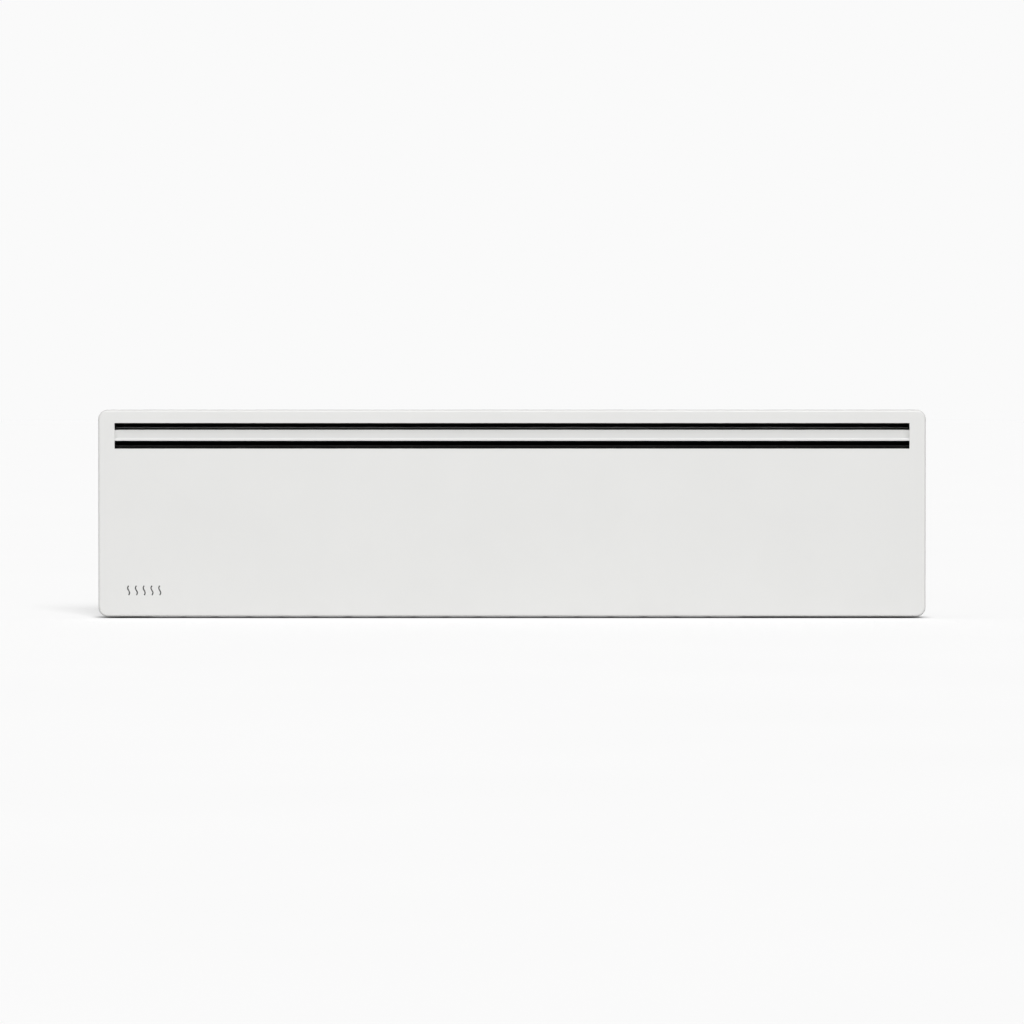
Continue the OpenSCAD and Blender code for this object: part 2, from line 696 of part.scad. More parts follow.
// Sheet supports riveted to the air guide; the left-hand one is open to the front
module element_supports() {
    t = 1;
    y0 = element_y - 11;
    y1 = y_guide;
    color("silver") for (i = [0, 1]) difference() {
        union() {
            block([support_x[i], y0, 20], [support_x[i] + t, y1, 108]);
            block([support_x[i], y1 - t, 20], [support_x[i] + 13, y1, 108]);
        }
        for (z = legs_z) {
            rod_x(support_x[i] - 1, t + 2, element_y, z, sheath_r + 2.05);
            if (i == 0) block([support_x[i] - 1, y0 - 1, z - sheath_r - 2.05],
                              [support_x[i] + t + 1, element_y, z + sheath_r + 2.05]);
        }
        for (z = [28, 100]) rod_y(support_x[i] + 6, y1 - 3, 5, z, rivet_r + hole_play);
        block([support_x[i] + t + 0.01, y1 - t - 1, 40], [support_x[i] + 14, y1 + 1, 86]);
    }
}

module element_bushes() color("ivory") for (x = support_x, z = legs_z) difference() {
    union() {
        rod_x(x - 1.5, 1.5, element_y, z, sheath_r + 3.2);
        rod_x(x - 1.5, 4, element_y, z, sheath_r + 2);
    }
    rod_x(x - 3, 7, element_y, z, sheath_r + 0.02);
}

// ---------- overheat cut-out ----------

module thermal_cutout() color("darkslategray") {
    x0 = cutout_x;
    block([x0, cutout_y - 8, cutout_z - 9], [x0 + 28, cutout_y + 8, bay_top]);
    rod_x(x0 - 4, 4 + EPS, cutout_y, cutout_z, 3);
    rod_x(-half_w + 60, x0 - 3 + half_w - 60, cutout_y, cutout_z, capillary_r);
    for (dx = cutout_tabs)
        block([x0 + dx - 3.15, cutout_y - 0.4, cutout_z - 15],
              [x0 + dx + 3.15, cutout_y + 0.4, cutout_z - 9 + EPS]);
}

module capillary_clips() {
    ring_r = capillary_r + 1;
    y0 = y_shield + shield_t;
    leg_top = cutout_z - ring_r + 0.8;
    color("silver") for (x = [-300, -120, 60, 220]) difference() {
        union() {
            rod_x(x, 8, cutout_y, cutout_z, ring_r);
            block([x, y0, cutout_z - ring_r], [x + 8, cutout_y, leg_top]);
            block([x, y0, cutout_z - 10], [x + 8, y0 + 0.8, leg_top]);
        }
        rod_x(x - 1, 10, cutout_y, cutout_z, capillary_r + hole_play);
    }
}

// ---------- wiring ----------

module terminal_block() {
    h = 18;
    color("white") difference() {
        union() {
            block([block_x, y_inner_back - 10, block_z],
                  [block_x + 3 * pole_pitch, y_inner_back, block_z + h]);
            for (i = [0 : 2])
                rod_y(block_x + (i + 0.5) * pole_pitch, y_inner_back - 13, 3 + EPS, block_z + h / 2, 4.5);
        }
        for (i = [0 : 2]) {
            rod_y(block_x + (i + 0.5) * pole_pitch, y_inner_back - 14, 9, block_z + h / 2, 3);
            translate([block_x + (i + 0.5) * pole_pitch, y_inner_back - 5, block_z + 1])
                cube([9, 5, 4], center = true);
        }
        for (i = [1, 2]) block([block_x + i * pole_pitch - 0.6, y_inner_back - 11, block_z - 1],
                               [block_x + i * pole_pitch + 0.6, y_inner_back - 6, block_z + h + 1]);
    }
}

module terminal_screws() color("goldenrod") for (i = [0 : 2])
    difference() {
        rod_y(block_x + (i + 0.5) * pole_pitch, y_inner_back - 12, 6.9, block_z + 9, 2.7);
        block([block_x + (i + 0.5) * pole_pitch - 3, y_inner_back - 13, block_z + 8.6],
              [block_x + (i + 0.5) * pole_pitch + 3, y_inner_back - 11.2, block_z + 9.4]);
    }

module earth_stud() color("silver") {
    rod_y(earth_x, y_inner_back - 10, 10, earth_z, screw_r);
    rod_y(earth_x, y_inner_back - 0.8, 0.8, earth_z, 4);
}

module wires_live() color("saddlebrown") {
    wire(route_live_in);
    wire(route_switched);
    wire(route_heater);
}

module wires_neutral() color("steelblue") {
    wire(route_neutral);
    wire(route_control);
}

// Earth lead with the ring that sits under the stud's nut
module wire_earth() color("yellowgreen") {
    wire(route_earth);
    difference() {
        union() {
            rod_y(earth_x, y_inner_back - 2, 1, earth_z, 4);
            block([earth_x - 1.5, y_inner_back - 2, earth_z],
                  [earth_x + 1.5, y_inner_back - 1, earth_z + 4.6]);
        }
        rod_y(earth_x, y_inner_back - 3, 3, earth_z, screw_r + hole_play);
    }
}

// ---------- cassette pocket, socket and cable gland ----------

module cassette_pocket() {
    x1 = half_w - 2.1;
    lip_x1 = half_w - 14;
    flange = 8;
    t = pocket_t;
    color("silver") difference() {
        union() {
            block([pocket_x, pocket_y, pocket_low], [x1, pocket_y + t, pocket_high]);
            block([pocket_x, pocket_y, pocket_low], [pocket_x + t, y_inner_back, pocket_high]);
            for (s = [0, 1]) {
                z0 = s == 0 ? pocket_low : pocket_high - t;
                flange_z = s == 0 ? pocket_low - flange : pocket_high;
                rail_z = s == 0 ? pocket_low + t : pocket_high - t - 1.4;
                block([pocket_x, pocket_y, z0], [x1, y_inner_back, z0 + t]);
                block([pocket_x, y_inner_back - t, flange_z], [x1 - 20, y_inner_back, flange_z + flange]);
                block([pocket_x + 10, rail_y - 0.4, rail_z - EPS],
                      [lip_x1, rail_y + 0.4, rail_z + 1.4 + EPS]);
            }
        }
        block([pocket_x - 1, blade_y - 7.2, 29.8], [pocket_x + t + 1, blade_y + 7.2, 80.2]);
        for (x = pocket_rivet_xs, z = pocket_rivet_zs)
            rod_y(x, y_inner_back - 3, 4, z, rivet_r + hole_play);
    }
}

module cassette_socket() {
    color("dimgray") difference() {
        union() {
            block([pocket_x - 16, blade_y - 7, 30], [pocket_x + 2.5, blade_y + 7, 80]);
            block([pocket_x - 2, blade_y - 8.5, 28.5], [pocket_x - EPS, blade_y + 8.5, 81.5]);
        }
        for (z = blade_zs)
            block([pocket_x - 12, blade_y - 0.7, z - 3.5], [pocket_x + 3, blade_y + 0.7, z + 3.5]);
    }
}

module gland_body() color("lightgray") difference() {
    union() {
        hexagon_y(gland_x, y_back, 4, gland_z, 22);
        rod_y(gland_x, y_inner_back - 6.5, 6.5 + rear_t + EPS, gland_z, 8);
        rod_y(gland_x, y_back + 4 - EPS, 5, gland_z, 8);
    }
    rod_y(gland_x, y_inner_back - 8, 30, gland_z, 6.1);
}

module gland_nut() color("lightgray") difference() {
    union() {
        hexagon_y(gland_x, y_back + 4.2, 5.2, gland_z, 22);
        cone_y(gland_x, y_back + 9.4 - EPS, 3.6, gland_z, 11, 7);
    }
    rod_y(gland_x, y_back + 4, 5.1, gland_z, 8 + hole_play);
    rod_y(gland_x, y_back + 4, 12, gland_z, 4.8);
}

module gland_seal() color("dimgray") difference() {
    rod_y(gland_x, y_back - 1, 9.9, gland_z, 6);
    rod_y(gland_x, y_back - 2, 12, gland_z, 4);
}

module gland_locknut() color("lightgray")
    nut_y(gland_x, gland_z, y_inner_back - 4.5, 4.5, 21, 8 + hole_play);

// ---------- hinge and catches ----------

module hinge_brackets() {
    t = 1.5;
    low = 18.5;
    high = 49;
    color("silver") for (x = arm_xs) difference() {
        union() {
            block([x - 20, y_back, low], [x + 20, y_back + t, high]);
            block([x - 17, y_back, low], [x + 17, y_back + 18, low + t]);
            for (s = [-1, 1]) bar_x(x + s * (17 - t / 2) - t / 2, t) {
                translate([y_back, low]) square([10, 27.5]);
                translate([hinge_y, hinge_z]) circle(7);
                translate([hinge_y - 1, low]) square([5, 15]);
            }
        }
        rod_x(x - 20, 40, hinge_y, hinge_z, pin_r + hole_play);
        for (s = [-1, 1], z = hinge_rivet_zs)
            rod_y(x + s * hinge_rivet_dx, y_back - 1, t + 2, z, rivet_r + hole_play);
    }
}

module hinge_pins() color("slategray") for (x = arm_xs) {
    rod_x(x - 19.5, 39, hinge_y, hinge_z, pin_r);
    rod_x(x - 19.6, 1.6, hinge_y, hinge_z, 4.6);
    rod_x(x + 17.4, 1, hinge_y, hinge_z, 4.2);
}

module catch_studs() color("slategray") for (x = arm_xs) {
    rod_y(x, y_back, 1.5, catch_z, 7);
    rod_y(x, y_back, 7, catch_z, 2.5);
    cone_y(x, y_back + 6.2, 1.8, catch_z, 2.5, 4);
    rod_y(x, y_back + 8 - EPS, 3, catch_z, 4);
    cone_y(x, y_back + 11 - 2 * EPS, 2, catch_z, 4, 2);
    rod_y(x, y_inner_back, rear_t + EPS, catch_z, rivet_r);
    rod_y(x, y_inner_back - 1.2, 1.2, catch_z, 3);
}

// ---------- thermostat cassette ----------

module cassette_outline(grow = 0) translate([(cas_y0 + cas_y1) / 2, (cas_z0 + cas_z1) / 2])
    rounded_rect(cas_y1 - cas_y0 + 2 * grow, cas_z1 - cas_z0 + 2 * grow, 3 + grow);

module cassette_housing() {
    w = cas_wall;
    color("whitesmoke") difference() {
        union() {
            difference() {
                bar_x(cas_x0, cas_x1 - cas_x0) cassette_outline();
                block([cas_x0 + w, cas_y0 + w, cas_z0 + w], [cas_x1 - w, cas_y1 + 1, cas_z1 - w]);
            }
            for (p = boss_xz) rod_y(p[0], cas_y0 + w - EPS, cas_y1 - 2 - cas_y0 - w, p[1], 2.8);
            for (x = [cas_x0 + 18, cas_x0 + 70]) rod_y(x, cas_y0 + w - EPS, 3, 55, 1.8);
            block([cas_x1 - 20, cas_y0 + w - EPS, button_z - 5],
                  [cas_x1 - 18, button_y + 4, button_z + 5]);
        }
        for (p = boss_xz) rod_y(p[0], cas_y1 - 14, 13, p[1], 1.25);
        for (z = blade_zs)
            block([cas_x0 - 1, blade_y - 0.5, z - 3.3], [cas_x0 + w + 1, blade_y + 0.5, z + 3.3]);
        for (z = [cas_z0 - 1, cas_z1 - 1.2])
            block([cas_x0 - 1, rail_y - 0.9, z], [cas_x1 - 4, rail_y + 0.9, z + 2.2]);
        rod_x(cas_x1 - 5, 10, control_y, dial_z, 3.7);
        block([cas_x1 - 5, control_y - 6.7, switch_z - 10.4], [cas_x1 + 1, control_y + 6.7, switch_z + 10.4]);
        rod_x(cas_x1 - 5, 10, led_y, led_z, 1.6);
        rod_x(cas_x1 - 5, 10, button_y, button_z, 3.5);
        for (x = [cas_x0 + 16 : 9 : cas_x0 + 70])
            block([x, y_back + 4, cas_z0 - 1], [x + 3, y_back + 13, cas_z1 + 1]);
    }
}

module cassette_lid() {
    gap = 0.3;
    w = cas_wall + gap;
    color("whitesmoke") difference() {
        block([cas_x0 + w, cas_y1 - 2, cas_z0 + w], [cas_x1 - w, cas_y1, cas_z1 - w]);
        for (p = boss_xz) {
            rod_y(p[0], cas_y1 - 3, 4, p[1], 1.5);
            cone_y(p[0], cas_y1 - 1.4, 1.5, p[1], 1.5, 2.9);
        }
        for (i = [0 : 5]) plate_y(cas_y1 - 3, 4) translate([cas_x0 + 50, 37 + 7 * i]) slot(56, 2.6);
    }
}

module lid_screws() color("dimgray") for (p = boss_xz) difference() {
    union() {
        cone_y(p[0], cas_y1 - 1.35, 1.35, p[1], 1.4, 2.7);
        rod_y(p[0], cas_y1 - 10, 9, p[1], 1.2);
    }
    for (s = [[1.7, 0.25], [0.25, 1.7]])
        block([p[0] - s[0], cas_y1 - 0.8, p[1] - s[1]], [p[0] + s[0], cas_y1 + 1, p[1] + s[1]]);
}

module control_board() color("seagreen")
    block([cas_x0 + 10.2, board_y, 26], [cas_x0 + 78, board_y + board_t, 84]);

// Connector, relay, transformer, capacitors, fuse and small parts on the board
module board_components() {
    y0 = board_y + board_t;
    color("darkslategray") {
        difference() {
            block([cas_x0 + 2.2, y0 + 0.2, 32], [cas_x0 + 12, blade_y + 4.4, 78]);
            for (z = blade_zs)
                block([cas_x0 + 1, blade_y - 0.5, z - 3.3], [cas_x0 + 8, blade_y + 0.5, z + 3.3]);
        }
        block([cas_x0 + 18, y0, 62], [cas_x0 + 46, y0 + 15, 78]);
        block([cas_x0 + 18, y0, 31], [cas_x0 + 40, y0 + 16, 50]);
        for (p = [[56, 70, 5, 12], [56, 38, 4, 11], [68, 38, 4, 11]])
            rod_y(cas_x0 + p[0], y0, p[3], p[1], p[2]);
        block([cas_x0 + 50, y0, 50], [cas_x0 + 62, y0 + 2.2, 58]);
        block([cas_x0 + 66, y0, 62], [cas_x0 + 74, y0 + 8, 66]);
        block([cas_x0 + 66, y0, 72], [cas_x0 + 76, y0 + 6, 80]);
    }
}

module contact_blades() color("gold") for (z = blade_zs)
    block([cas_x0 - 13.8, blade_y - 0.4, z - 3.15], [cas_x0 + 7.9, blade_y + 0.4, z + 3.15]);

// Bead sensor over the lower vents
module temperature_sensor() color("black") {
    x = cas_x0 + 48;
    translate([x, y_back + 9, 29]) sphere(1.7);
    translate([x, y_back + 9, 29]) cylinder(h = 6, r = 0.7);
    block([x - 0.7, board_y + board_t, 34.2], [x + 0.7, y_back + 9.7, 35.6]);
}

module potentiometer() color("slategray") difference() {
    union() {
        block([cas_x1 - 16, control_y - 8, dial_z - 8], [cas_x1 - 6, control_y + 8, dial_z + 8]);
        rod_x(cas_x1 - 6 - EPS, 7.4, control_y, dial_z, 3.5);
        translate([cas_x1, control_y, dial_z]) rotate([0, 90, 0])
            cylinder(h = 1.2, r = 10 / sqrt(3), $fn = 6);
    }
    rod_x(cas_x1 - 14.5, 20, control_y, dial_z, 3.05);
}

module switch_body() {
    cavity = [5.8, 9.1];
    color("black") difference() {
        union() {
            block([cas_x1 - 20, control_y - 6.5, switch_z - 10.2],
                  [cas_x1, control_y + 6.5, switch_z + 10.2]);
            bar_x(cas_x1, 1.4) translate([control_y, switch_z]) rounded_rect(17, 24, 1.5);
        }
        block([cas_x1 - 11, control_y - cavity[0], switch_z - cavity[1]],
              [cas_x1 + 2, control_y + cavity[0], switch_z + cavity[1]]);
        rod_y(rocker_pivot_x, control_y - 7, 14, switch_z, 1.25);
    }
}

module led_lens() color("limegreen") {
    rod_x(cas_x1 - 5, 5.6, led_y, led_z, 1.5);
    rod_x(cas_x1 - 5, 2.8, led_y, led_z, 2.2);
}

// Coil spring behind the release button
module button_spring() {
    turns = 6;
    per_turn = 14;
    x0 = cas_x1 - 17.4;
    length = 10.6;
    color("silver") tube([for (i = [0 : turns * per_turn]) let (a = 360 * i / per_turn)
        [x0 + length * i / (turns * per_turn), button_y + 2.4 * cos(a), button_z + 2.4 * sin(a)]],
        0.35, 6, [1, 0.1, 0]);
}

// ---------- controls ----------

module dial_knob() {
    x0 = cas_x1 + 1.8;
    color("whitesmoke") difference() {
        union() {
            rod_x(x0, 2, control_y, dial_z, 13);
            rod_x(x0 + 2 - EPS, 3.8, control_y, dial_z, 10.6);
        }
        for (i = [0 : 27])
            rotate_about_dial(i * 360 / 28) rod_x(x0 + 2.4, 6, control_y, dial_z + 11.1, 0.75);
        rotate_about_dial(135)
            block([x0 + 5, control_y - 0.6, dial_z + 3], [x0 + 7, control_y + 0.6, dial_z + 9.6]);
        rod_x(x0 - 1, 5, control_y, dial_z, 3.02);
    }
}

module rotate_about_dial(a)
    translate([0, control_y, dial_z]) rotate([a, 0, 0]) translate([0, -control_y, -dial_z]) children();

module dial_shaft() color("slategray") rod_x(cas_x1 - 14, 19.5, control_y, dial_z, 3);

module rocker() color("black")
    translate([rocker_pivot_x, control_y, switch_z]) rotate([0, rocker_rest_angle, 0]) {
        translate([0, 5.5, 0]) rotate([90, 0, 0]) linear_extrude(11)
            polygon([[-4.6, -4.6], [2.8, -8.2], [4.6, -8.2], [3.4, 0], [4.6, 8.2], [2.8, 8.2],
                     [-4.6, 4.6]]);
        rod_y(0, -6.4, 12.8, 0, 1.2);
    }

module release_button() color("tomato") {
    rod_x(cas_x1 - 4.5, 7, button_y, button_z, 3.2);
    rod_x(cas_x1 - 6.5, 2.5, button_y, button_z, 4.2);
}

bracket_arm(arm_xs[0]);  // bracket_arm_left
bracket_arm(arm_xs[1]);  // bracket_arm_right
bracket_rail();
bracket_rivets();
spring_clips();
front_cover();
cover_ends();
front_mark();
rear_casing();
inlet_grille();
rating_label();
rear_buffers();
cover_brackets();
cover_screws();
hex_nuts();
front_heat_shield();
rear_air_guide();
guide_spacers();
casing_rivets();
inner_louvre();
duct_end_plates();
wiring_partition();
element_sheath();
element_fins();
element_terminals();
element_insulators();
element_supports();
element_bushes();
thermal_cutout();
capillary_clips();
terminal_block();
terminal_screws();
earth_stud();
wires_live();
wires_neutral();
wire_earth();
cassette_pocket();
cassette_socket();
gland_body();
gland_nut();
gland_seal();
gland_locknut();
hinge_brackets();
hinge_pins();
catch_studs();
cassette_housing();
cassette_lid();
lid_screws();
control_board();
board_components();
contact_blades();
temperature_sensor();
potentiometer();
switch_body();
led_lens();
button_spring();
dial_knob();
dial_shaft();
rocker();
release_button();
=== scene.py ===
"""Looks of the baseboard heater: finishes, finely formed sheet parts, floor, light and camera.

Everything is in metres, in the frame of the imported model: X runs along the heater,
the room is towards -Y, the wall is at +Y and Z is up.
"""

import json
import math

import bmesh
import bpy
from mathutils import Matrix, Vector


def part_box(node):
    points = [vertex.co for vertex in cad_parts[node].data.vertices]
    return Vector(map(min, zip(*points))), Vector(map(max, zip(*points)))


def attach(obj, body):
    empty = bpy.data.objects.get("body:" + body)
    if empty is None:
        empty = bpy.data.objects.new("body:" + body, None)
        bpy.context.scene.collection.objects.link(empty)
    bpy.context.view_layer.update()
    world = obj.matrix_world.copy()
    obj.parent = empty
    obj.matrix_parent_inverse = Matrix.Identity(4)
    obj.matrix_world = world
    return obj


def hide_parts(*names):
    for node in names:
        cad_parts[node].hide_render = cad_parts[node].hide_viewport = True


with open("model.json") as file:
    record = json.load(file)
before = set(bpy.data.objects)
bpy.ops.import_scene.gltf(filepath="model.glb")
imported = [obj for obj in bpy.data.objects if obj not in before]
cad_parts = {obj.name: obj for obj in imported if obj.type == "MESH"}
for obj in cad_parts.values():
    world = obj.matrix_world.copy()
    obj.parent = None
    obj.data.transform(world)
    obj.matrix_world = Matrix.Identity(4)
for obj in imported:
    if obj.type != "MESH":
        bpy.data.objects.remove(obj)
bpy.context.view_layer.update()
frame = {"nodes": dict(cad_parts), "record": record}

MM = 0.001

# ---------- sizes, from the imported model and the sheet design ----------

ends_low, ends_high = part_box("cover_ends")
louvre_low, louvre_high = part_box("inner_louvre")
pocket_low, pocket_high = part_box("cassette_pocket")
grille_low, grille_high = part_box("inlet_grille")

WIDTH = ends_high.x - ends_low.x
HEIGHT = ends_high.z - ends_low.z
Y_FRONT = ends_low.y
Y_SEAM = ends_high.y
Y_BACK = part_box("rating_label")[0].y  # the label lies on the rear wall
CORNER_R = 9 * MM
FOLD_R = 2 * MM
COVER_T = 1.0 * MM
CASING_T = 0.8 * MM
SEAM_GAP = 0.3 * MM
LIP_DEPTH = 12 * MM
OUTLET_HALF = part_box("front_cover")[1].x  # this node ends where the outlet does
POCKET_FLANGE = 8.0 * MM
BEAD_LENGTH = 370 * MM
BEAD_WIDTH = 9 * MM
BEAD_RISE = 1.2 * MM
BEAD_HEIGHTS = (70 * MM, 150 * MM)
SLOT_TOP = HEIGHT - 12.9 * MM
LIP_TOP = SLOT_TOP - 14.9 * MM
LIP_BOTTOM = LIP_TOP - 2.2 * MM
SLOT_BOTTOM = LIP_BOTTOM - 7.6 * MM
BLADE_RUN = 8.2 * MM
BLADE_RISE = 8.5 * MM
BLADE_END = 7.0 * MM
LEAST_CORNER_R = 0.2 * MM
SHEET_EDGE = 0.18 * MM
WEAR_AND_HIGHLIGHT_REACH = 0.4 * MM
CORNER_STEPS = 16
FOLD_STEPS = 6
END_STEPS = 12


# ---------- mesh helpers ----------


def rounded_outline(width, height, radius, steps=CORNER_STEPS):
    """Points (x, z) of a rounded rectangle centred on the origin, anticlockwise seen from -Y."""
    points = []
    corners = [(1, -1, -90), (1, 1, 0), (-1, 1, 90), (-1, -1, 180)]
    for side_x, side_z, start in corners:
        centre_x = side_x * (width / 2 - radius)
        centre_z = side_z * (height / 2 - radius)
        for i in range(steps + 1):
            angle = math.radians(start + 90 * i / steps)
            points.append((centre_x + radius * math.cos(angle), centre_z + radius * math.sin(angle)))
    return points


def arc_profile(centre, radius, start, end, steps=FOLD_STEPS):
    """Points (inset, y) along an arc, angles in degrees from the inset axis."""
    points = []
    for i in range(steps + 1):
        angle = math.radians(start + (end - start) * i / steps)
        points.append((centre[0] + radius * math.cos(angle), centre[1] + radius * math.sin(angle)))
    return points


def ring(bm, inset, y, width=WIDTH, height=HEIGHT, radius=CORNER_R, centre_z=None):
    """Vertices of the casing's outline moved inwards by inset, at depth y."""
    middle = HEIGHT / 2 if centre_z is None else centre_z
    outline = rounded_outline(width - 2 * inset, height - 2 * inset, max(radius - inset, LEAST_CORNER_R))
    return [bm.verts.new((x, y, middle + z)) for x, z in outline]


def join_rings(bm, rings):
    """Walls of quads between each ring and the next."""
    for first, second in zip(rings, rings[1:]):
        count = len(first)
        for i in range(count):
            j = (i + 1) % count
            bm.faces.new((first[i], first[j], second[j], second[i]))


def loop_edges(bm, loop):
    """Edges of a closed loop of vertices, made where they are missing."""
    edges = []
    for a, b in zip(loop, loop[1:] + loop[:1]):
        edges.append(bm.edges.get((a, b)) or bm.edges.new((a, b)))
    return edges


def fill_between(bm, *loops):
    """Flat faces between an outer loop and the loops inside it, all in one plane."""
    edges = [edge for loop in loops for edge in loop_edges(bm, loop)]
    bmesh.ops.triangle_fill(bm, use_beauty=True, edges=edges)


def rectangle_loop(bm, half_x, low_z, high_z, y):
    """Vertices of a rectangle that is centred across X, at depth y."""
    corners = [(-half_x, low_z), (half_x, low_z), (half_x, high_z), (-half_x, high_z)]
    return [bm.verts.new((x, y, z)) for x, z in corners]


def fillet(points, radius, steps=6):
    """A line of (y, z) points with each inner corner rounded."""
    line = [Vector(points[0])]
    for before, corner, after in zip(points, points[1:], points[2:]):
        here = Vector(corner)
        back = (Vector(before) - here).normalized()
        ahead = (Vector(after) - here).normalized()
        half_angle = back.angle(ahead) / 2
        reach = radius / math.tan(half_angle)
        start = here + back * reach
        end = here + ahead * reach
        for i in range(steps + 1):
            t = i / steps
            line.append(start * (1 - t) ** 2 + here * 2 * t * (1 - t) + end * t ** 2)
    line.append(Vector(points[-1]))
    return line


def strip_section(line, thickness):
    """Closed outline of a sheet of that thickness along a line of (y, z) points."""
    left, right = [], []
    for i, point in enumerate(line):
        ahead = line[min(i + 1, len(line) - 1)]
        behind = line[max(i - 1, 0)]
        along = (ahead - behind).normalized()
        normal = Vector((-along.y, along.x))
        left.append(point + normal * thickness / 2)
        right.append(point - normal * thickness / 2)
    return left + right[::-1]


def loft_along_x(bm, sections):
    """Closed skin over (x, section) pairs, each section a loop of (y, z) points."""
    loops = [[bm.verts.new((x, y, z)) for y, z in section] for x, section in sections]
    join_rings(bm, loops)
    bm.faces.new(loops[0][::-1])
    bm.faces.new(loops[-1])


def make_piece(name, bm, body, slot, nodes):
    """The bmesh as a piece that rides on a body and stands for CAD nodes."""
    bmesh.ops.recalc_face_normals(bm, faces=bm.faces)
    mesh = bpy.data.meshes.new(name)
    bm.to_mesh(mesh)
    bm.free()
    piece = bpy.data.objects.new(name, mesh)
    bpy.context.scene.collection.objects.link(piece)
    mesh.materials.append(materials[slot])
    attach(piece, body)
    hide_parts(*nodes)
    return piece


# ---------- edge softening, as modifiers ----------


def smooth_faces_group():
    """Node group that marks every face smooth, so that the weighted normals show."""
    group = bpy.data.node_groups.new("all_faces_smooth", "GeometryNodeTree")
    group.interface.new_socket("Geometry", in_out="INPUT", socket_type="NodeSocketGeometry")
    group.interface.new_socket("Geometry", in_out="OUTPUT", socket_type="NodeSocketGeometry")
    start = group.nodes.new("NodeGroupInput")
    smooth = group.nodes.new("GeometryNodeSetShadeSmooth")
    end = group.nodes.new("NodeGroupOutput")
    group.links.new(start.outputs[0], smooth.inputs["Geometry"])
    group.links.new(smooth.outputs["Geometry"], end.inputs[0])
    return group


SMOOTH_FACES = smooth_faces_group()


def soften(piece, width, merge=True, angle=32):
    """Rounds sharp edges and shades flat faces flat and curved ones smooth.

    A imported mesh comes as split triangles, so its vertices and flat faces are joined first.
    """
    if merge:
        weld = piece.modifiers.new("weld", "WELD")
        weld.merge_threshold = 0.002 * MM
        flat = piece.modifiers.new("flat_faces", "DECIMATE")
        flat.decimate_type = "DISSOLVE"
        flat.angle_limit = math.radians(1)
    bevel = piece.modifiers.new("soft_edges", "BEVEL")
    bevel.width = width
    bevel.segments = 2
    bevel.limit_method = "ANGLE"
    bevel.angle_limit = math.radians(angle)
    bevel.use_clamp_overlap = True
    smooth = piece.modifiers.new("smooth_faces", "NODES")
    smooth.node_group = SMOOTH_FACES
    normals = piece.modifiers.new("flat_normals", "WEIGHTED_NORMAL")
    normals.keep_sharp = False
    normals.weight = 80
    return piece


# ---------- materials ----------


